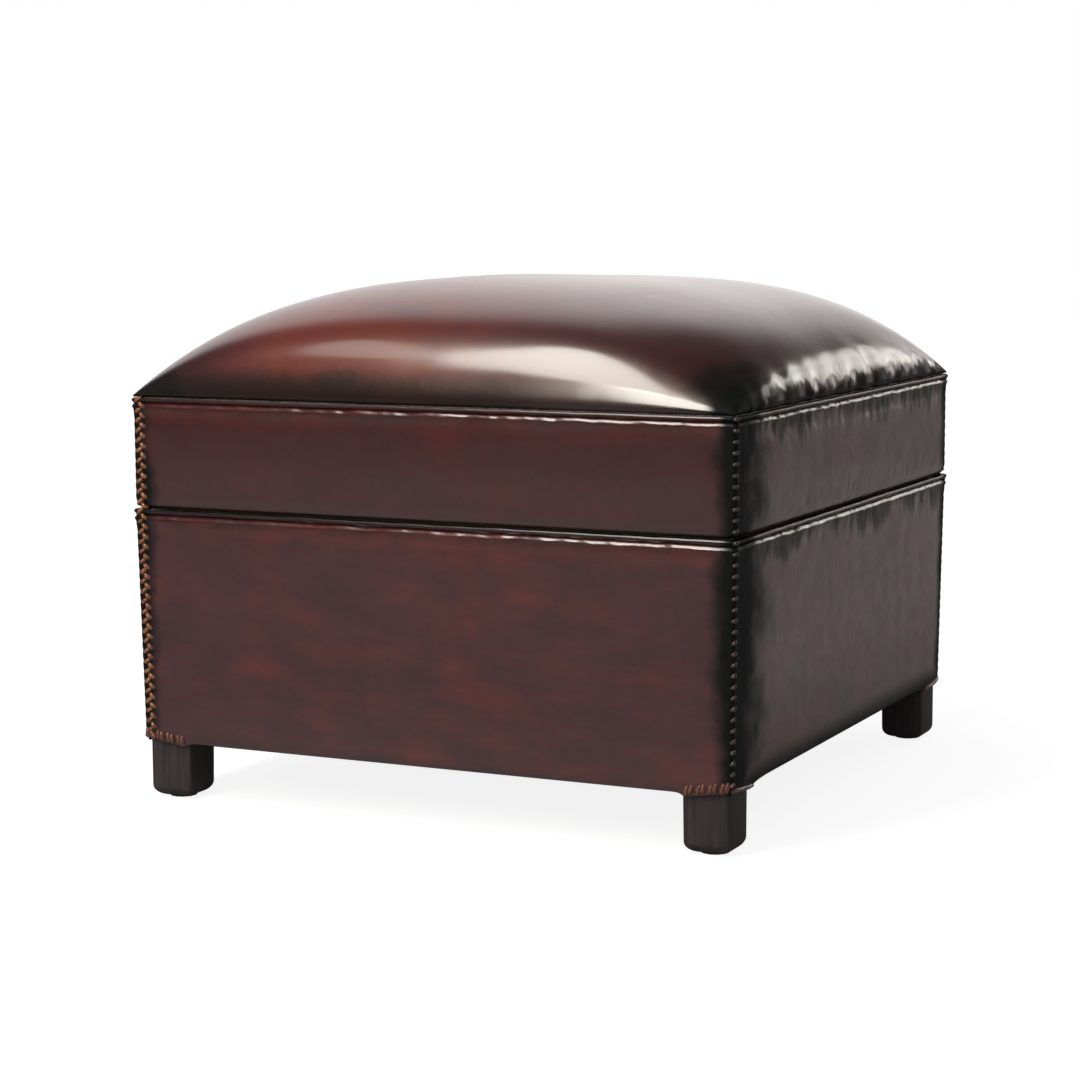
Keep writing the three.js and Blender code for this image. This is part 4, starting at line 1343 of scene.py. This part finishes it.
class STOOL_OT_padding(bpy.types.Operator):
    """Makes the cotton layer and the hair stuffing under the cover"""

    bl_idname = "stool.padding"
    bl_label = "Padding"

    def execute(self, context):
        cotton = get_material("cotton", fibre_finish, (0.80, 0.77, 0.70), (0.55, 0.51, 0.45), 180.0, 0.002)
        layer = finish_piece("cotton_layer", cotton_mesh(), cotton, ["wadding"])
        give_thickness(layer, 6.5 * MM)
        hair = get_material(
            "curled_hair", fibre_finish, (0.10, 0.065, 0.04), (0.02, 0.013, 0.010), 320.0, 0.003
        )
        pad = finish_piece("hair_stuffing", stuffing_mesh(), hair, ["stuffing"], 50)
        return {"FINISHED"}


class STOOL_OT_bands(bpy.types.Operator):
    """Makes the four band panels between the pipings"""

    bl_idname = "stool.bands"
    bl_label = "Band"

    def execute(self, context):
        make_panels(context, "band_panel_", "band_", BAND_ROWS, band_station, 10)
        return {"FINISHED"}


class STOOL_OT_walls(bpy.types.Operator):
    """Makes the four lower wall panels, turned under between the legs"""

    bl_idname = "stool.walls"
    bl_label = "Walls"

    def execute(self, context):
        make_panels(context, "wall_panel_", "side_wall_", WALL_ROWS, wall_station, 30)
        return {"FINISHED"}


class STOOL_OT_pipings(bpy.types.Operator):
    """Makes the two leather-covered cords in the seams"""

    bl_idname = "stool.pipings"
    bl_label = "Pipings"

    def execute(self, context):
        hide = get_material("piping_hide", leather_finish, darker=0.08, worn=0.45)
        for name, height, seed, node in (
            ("top_piping_cord", TOP_SEAM, 1, "top_piping"),
            ("middle_piping_cord", MIDDLE_SEAM, 2, "middle_piping"),
        ):
            finish_piece(name, piping_mesh(height, seed), hide, [node], 60)
        return {"FINISHED"}


class STOOL_OT_stitches(bpy.types.Operator):
    """Makes the corner lacing and the heavy stitches over the legs"""

    bl_idname = "stool.stitches"
    bl_label = "Stitches"

    def execute(self, context):
        thread = get_material("waxed_linen", thread_finish)
        for index, corner in enumerate(CORNERS):
            for name, mesh, node in (
                ("corner_stitches_", corner_stitch_mesh, "corner_thread_"),
                ("leg_stitches_", leg_stitch_mesh, "foot_thread_"),
            ):
                finish_piece(name + corner, mesh(index), thread, [node + corner])
        return {"FINISHED"}


class STOOL_OT_legs(bpy.types.Operator):
    """Makes the four stained legs"""

    bl_idname = "stool.legs"
    bl_label = "Legs"

    def execute(self, context):
        stained = get_material("stained_leg", leg_finish)
        for index, corner in enumerate(CORNERS):
            finish_piece("leg_block_" + corner, leg_mesh(index), stained, ["leg_" + corner], 35)
        return {"FINISHED"}


class STOOL_OT_suspension(bpy.types.Operator):
    """Makes the webbing, the lashing twine and the hessian platform"""

    bl_idname = "stool.suspension"
    bl_label = "Suspension"

    def execute(self, context):
        jute = get_material(
            "jute_webbing",
            weave_finish,
            (0.50, 0.36, 0.20),
            (0.24, 0.16, 0.085),
            0.003,
            stripe=((0.16, 0.035, 0.03), 0.05),
        )
        straps = finish_piece("webbing_straps", webbing_mesh(), jute, ["webbing"])
        give_thickness(straps, 1.4 * MM, 0.0)
        cord = get_material("lashing", fibre_finish, (0.55, 0.42, 0.24), (0.26, 0.18, 0.10), 700.0, 0.0008)
        finish_piece("lashing_twine", twine_mesh(), cord, ["spring_twine"])
        sacking = get_material("sacking", weave_finish, (0.42, 0.31, 0.18), (0.17, 0.115, 0.06), 0.0024)
        cloth = finish_piece("hessian_cloth", hessian_mesh(), sacking, ["hessian"])
        give_thickness(cloth, 1.0 * MM)
        return {"FINISHED"}


class STOOL_OT_dust_cloth(bpy.types.Operator):
    """Makes the black cloth under the stool"""

    bl_idname = "stool.dust_cloth"
    bl_label = "Dust Cloth"

    def execute(self, context):
        cambric = get_material(
            "cambric", weave_finish, (0.030, 0.029, 0.030), (0.008, 0.008, 0.009), 0.0012, 0.9
        )
        cloth = finish_piece("dust_cloth", dust_cloth_mesh(), cambric, ["dust_cover"])
        give_thickness(cloth, 0.6 * MM, 0.0)
        return {"FINISHED"}


class STOOL_OT_frame_finishes(bpy.types.Operator):
    """Gives the wooden frame, the springs and the glides their finishes"""

    bl_idname = "stool.frame_finishes"
    bl_label = "Frame Finishes"

    def execute(self, context):
        along = {"front": "x", "back": "x", "left": "y", "right": "y"}
        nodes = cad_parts
        for side in SIDES:
            axis = along[side]
            beech = get_material("beech_" + axis, frame_wood_finish, 1.0, axis)
            board = get_material("board_" + axis, frame_wood_finish, 0.8, axis)
            self.coat(nodes["base_rail_" + side], beech)
            self.coat(nodes["seat_rail_" + side], beech)
            self.coat(nodes["side_board_" + side], board)
        for corner in CORNERS:
            self.coat(nodes["corner_block_" + corner], get_material("beech_x", frame_wood_finish, 1.0, "x"))
            self.coat(nodes["glide_" + corner], get_material("nylon", nylon_finish))
        for number in range(1, 10):
            self.coat(nodes["seat_spring_" + str(number)], get_material("spring_wire", steel_finish))
        return {"FINISHED"}

    @staticmethod
    def coat(node, material):
        node.data.materials.clear()
        node.data.materials.append(material)


# Stage

FLOOR_REACH = 9.0
CAMERA_PLACE = (1.0127, -2.1692, 0.5148)
CAMERA_TURN = 25.51
CAMERA_DOWN = 7.30
CAMERA_ROLL = -0.27


def softbox(name, place, target, size, power, shape="RECTANGLE", turn=0.0):
    """A light aimed at a point, with its width kept level and then turned."""
    data = bpy.data.lights.new(name, "AREA")
    data.shape = shape
    data.size, data.size_y = size
    data.energy = power
    data.color = (1.0, 0.985, 0.92)
    lamp = bpy.data.objects.new(name, data)
    bpy.context.scene.collection.objects.link(lamp)
    back = (Vector(place) - Vector(target)).normalized()
    level = Vector((math.cos(turn), math.sin(turn), 0))
    along = back.cross(level).normalized()
    level = along.cross(back)
    lamp.location = place
    lamp.rotation_euler = Matrix((level, along, back)).transposed().to_euler()
    lamp.visible_camera = False


def light_paths(shader):
    """1 for what the camera, a mirror or glass sees, and 0 for the light on the object."""
    path = shader.node("ShaderNodeLightPath")
    return path.value("Is Camera Ray"), path.value("Is Glossy Ray"), path.value("Is Transmission Ray")


def floor_material():
    material, shader = new_material("studio_floor")
    camera, glossy, transmission = light_paths(shader)
    seen = (camera + glossy * 0.06 + transmission).smaller(1.0)
    _, x, y, _ = shader.place()
    near = (x * x + y * y).ramp(0.6, 0.1)
    lit = 0.16 + 0.14 * near + 0.15 * x.ramp(0.25, 0.6)
    paper = shader.node("ShaderNodeBsdfDiffuse", None, {"Color": shader.grey(lit)})
    white = {"Color": (1.0, 1.0, 1.0, 1.0), "Strength": seen * (1.0 - near * 0.13)}
    glow = shader.node("ShaderNodeEmission", None, white)
    both = shader.node("ShaderNodeAddShader", None, {0: paper.socket(0), 1: glow.socket(0)})
    shader.output(both.socket(0))
    return material


def light_world(surround):
    world = bpy.data.worlds.new("studio_room")
    world.use_nodes = True
    bpy.context.scene.world = world
    shader = Shader(world.node_tree)
    camera, glossy, transmission = light_paths(shader)
    _, across, behind, up = shader.place("Generated")
    slanted = up + across.larger(-0.33) * 1.2
    high_room = 0.76 + across.ramp(-0.46, -0.38) * across.ramp(-0.12, -0.25) * 0.2
    low_right = across.ramp(-0.08, 0.06) * up.ramp(0.30, 0.24) * 0.6
    high_room = high_room * (across.ramp(-0.14, 0.02, 1.0, 0.85) + low_right)
    seen = 0.03 + slanted.ramp(0.58, 0.22) * behind.ramp(0.34, 0.55) * high_room
    mirrored = (glossy + transmission).smaller(1.0)
    unseen = mirrored * seen + (1.0 - mirrored) * surround
    strength = camera + (1.0 - camera) * unseen
    tint = shader.blend(camera, (1.0, 0.955, 0.965), (1.0, 1.0, 1.0))
    glow = shader.node("ShaderNodeBackground", None, {"Color": tint, "Strength": strength})
    shader.node("ShaderNodeOutputWorld", None, {"Surface": glow.socket(0)})


class STOOL_OT_stage(bpy.types.Operator):
    """Makes the floor, the lights and the camera"""

    bl_idname = "stool.stage"
    bl_label = "Stage"

    def execute(self, context):
        stage = context.scene.stool_stage
        bm = bmesh.new()
        bmesh.ops.create_grid(bm, x_segments=1, y_segments=1, size=FLOOR_REACH)
        mesh = bpy.data.meshes.new("floor")
        bm.to_mesh(mesh)
        bm.free()
        mesh.materials.append(floor_material())
        floor = bpy.data.objects.new("floor", mesh)
        context.scene.collection.objects.link(floor)
        light_world(stage.surround)
        power = stage.softbox_power
        over = ((-0.565, -1.08, 1.93), (-0.565, -1.08, 0.3))
        softbox("strip_softbox", *over, (0.54, 1.85), power * 0.84, "ELLIPSE", math.radians(-4.6))
        softbox("front_softbox", (-0.58, -2.2, 1.5), (0.22, -0.27, 0.36), (0.42, 1.15), power * 0.8)
        over = ((-0.97, -0.5, 1.93), (-0.97, -0.5, 0.3))
        softbox("fill_softbox", *over, (0.34, 0.75), power * 0.045, "ELLIPSE")
        softbox("rear_softbox", (1.03, 2.26, 0.88), (0.27, -0.1, 0.38), (0.86, 0.46), stage.rim_power)
        self.aim_camera(context, stage.focal_length)
        context.scene.view_settings.view_transform = "Standard"
        return {"FINISHED"}

    @staticmethod
    def aim_camera(context, focal_length):
        data = bpy.data.cameras.new("camera")
        data.sensor_width = 36.0
        data.lens = focal_length
        camera = bpy.data.objects.new("camera", data)
        context.scene.collection.objects.link(camera)
        turn = Matrix.Rotation(math.radians(CAMERA_TURN), 3, "Z")
        tilt = Matrix.Rotation(math.radians(90 - CAMERA_DOWN), 3, "X")
        roll = Matrix.Rotation(math.radians(CAMERA_ROLL), 3, "Z")
        camera.location = CAMERA_PLACE
        camera.rotation_euler = (turn @ tilt @ roll).to_euler()
        context.scene.camera = camera


class STOOL_PT_panel(bpy.types.Panel):
    """Lists the steps that finish the footstool"""

    bl_idname = "STOOL_PT_panel"
    bl_label = "Footstool"
    bl_space_type = "VIEW_3D"
    bl_region_type = "UI"
    bl_category = "Footstool"

    def draw(self, context):
        column = self.layout.column(align=True)
        for operator in OPERATORS:
            column.operator(operator.bl_idname)
        for group in SETTINGS:
            box = self.layout.box()
            for name in group[1].__annotations__:
                box.prop(getattr(context.scene, group[0]), name)


OPERATORS = (
    STOOL_OT_seat_cover,
    STOOL_OT_padding,
    STOOL_OT_bands,
    STOOL_OT_walls,
    STOOL_OT_pipings,
    STOOL_OT_stitches,
    STOOL_OT_legs,
    STOOL_OT_suspension,
    STOOL_OT_dust_cloth,
    STOOL_OT_frame_finishes,
    STOOL_OT_stage,
)
SETTINGS = (
    ("stool_leather", LeatherSettings),
    ("stool_stitch", StitchSettings),
    ("stool_wood", WoodSettings),
    ("stool_stage", StageSettings),
)


def register():
    for name, group in SETTINGS:
        bpy.utils.register_class(group)
        setattr(bpy.types.Scene, name, PointerProperty(type=group))
    for made in (*OPERATORS, STOOL_PT_panel):
        bpy.utils.register_class(made)


def unregister():
    for made in (STOOL_PT_panel, *reversed(OPERATORS)):
        bpy.utils.unregister_class(made)
    for name, group in reversed(SETTINGS):
        delattr(bpy.types.Scene, name)
        bpy.utils.unregister_class(group)


def main():
    register()
    for operator in OPERATORS:
        step = operator.bl_idname.split(".")[1]
        getattr(bpy.ops.stool, step)()


if __name__ == "__main__":
    main()
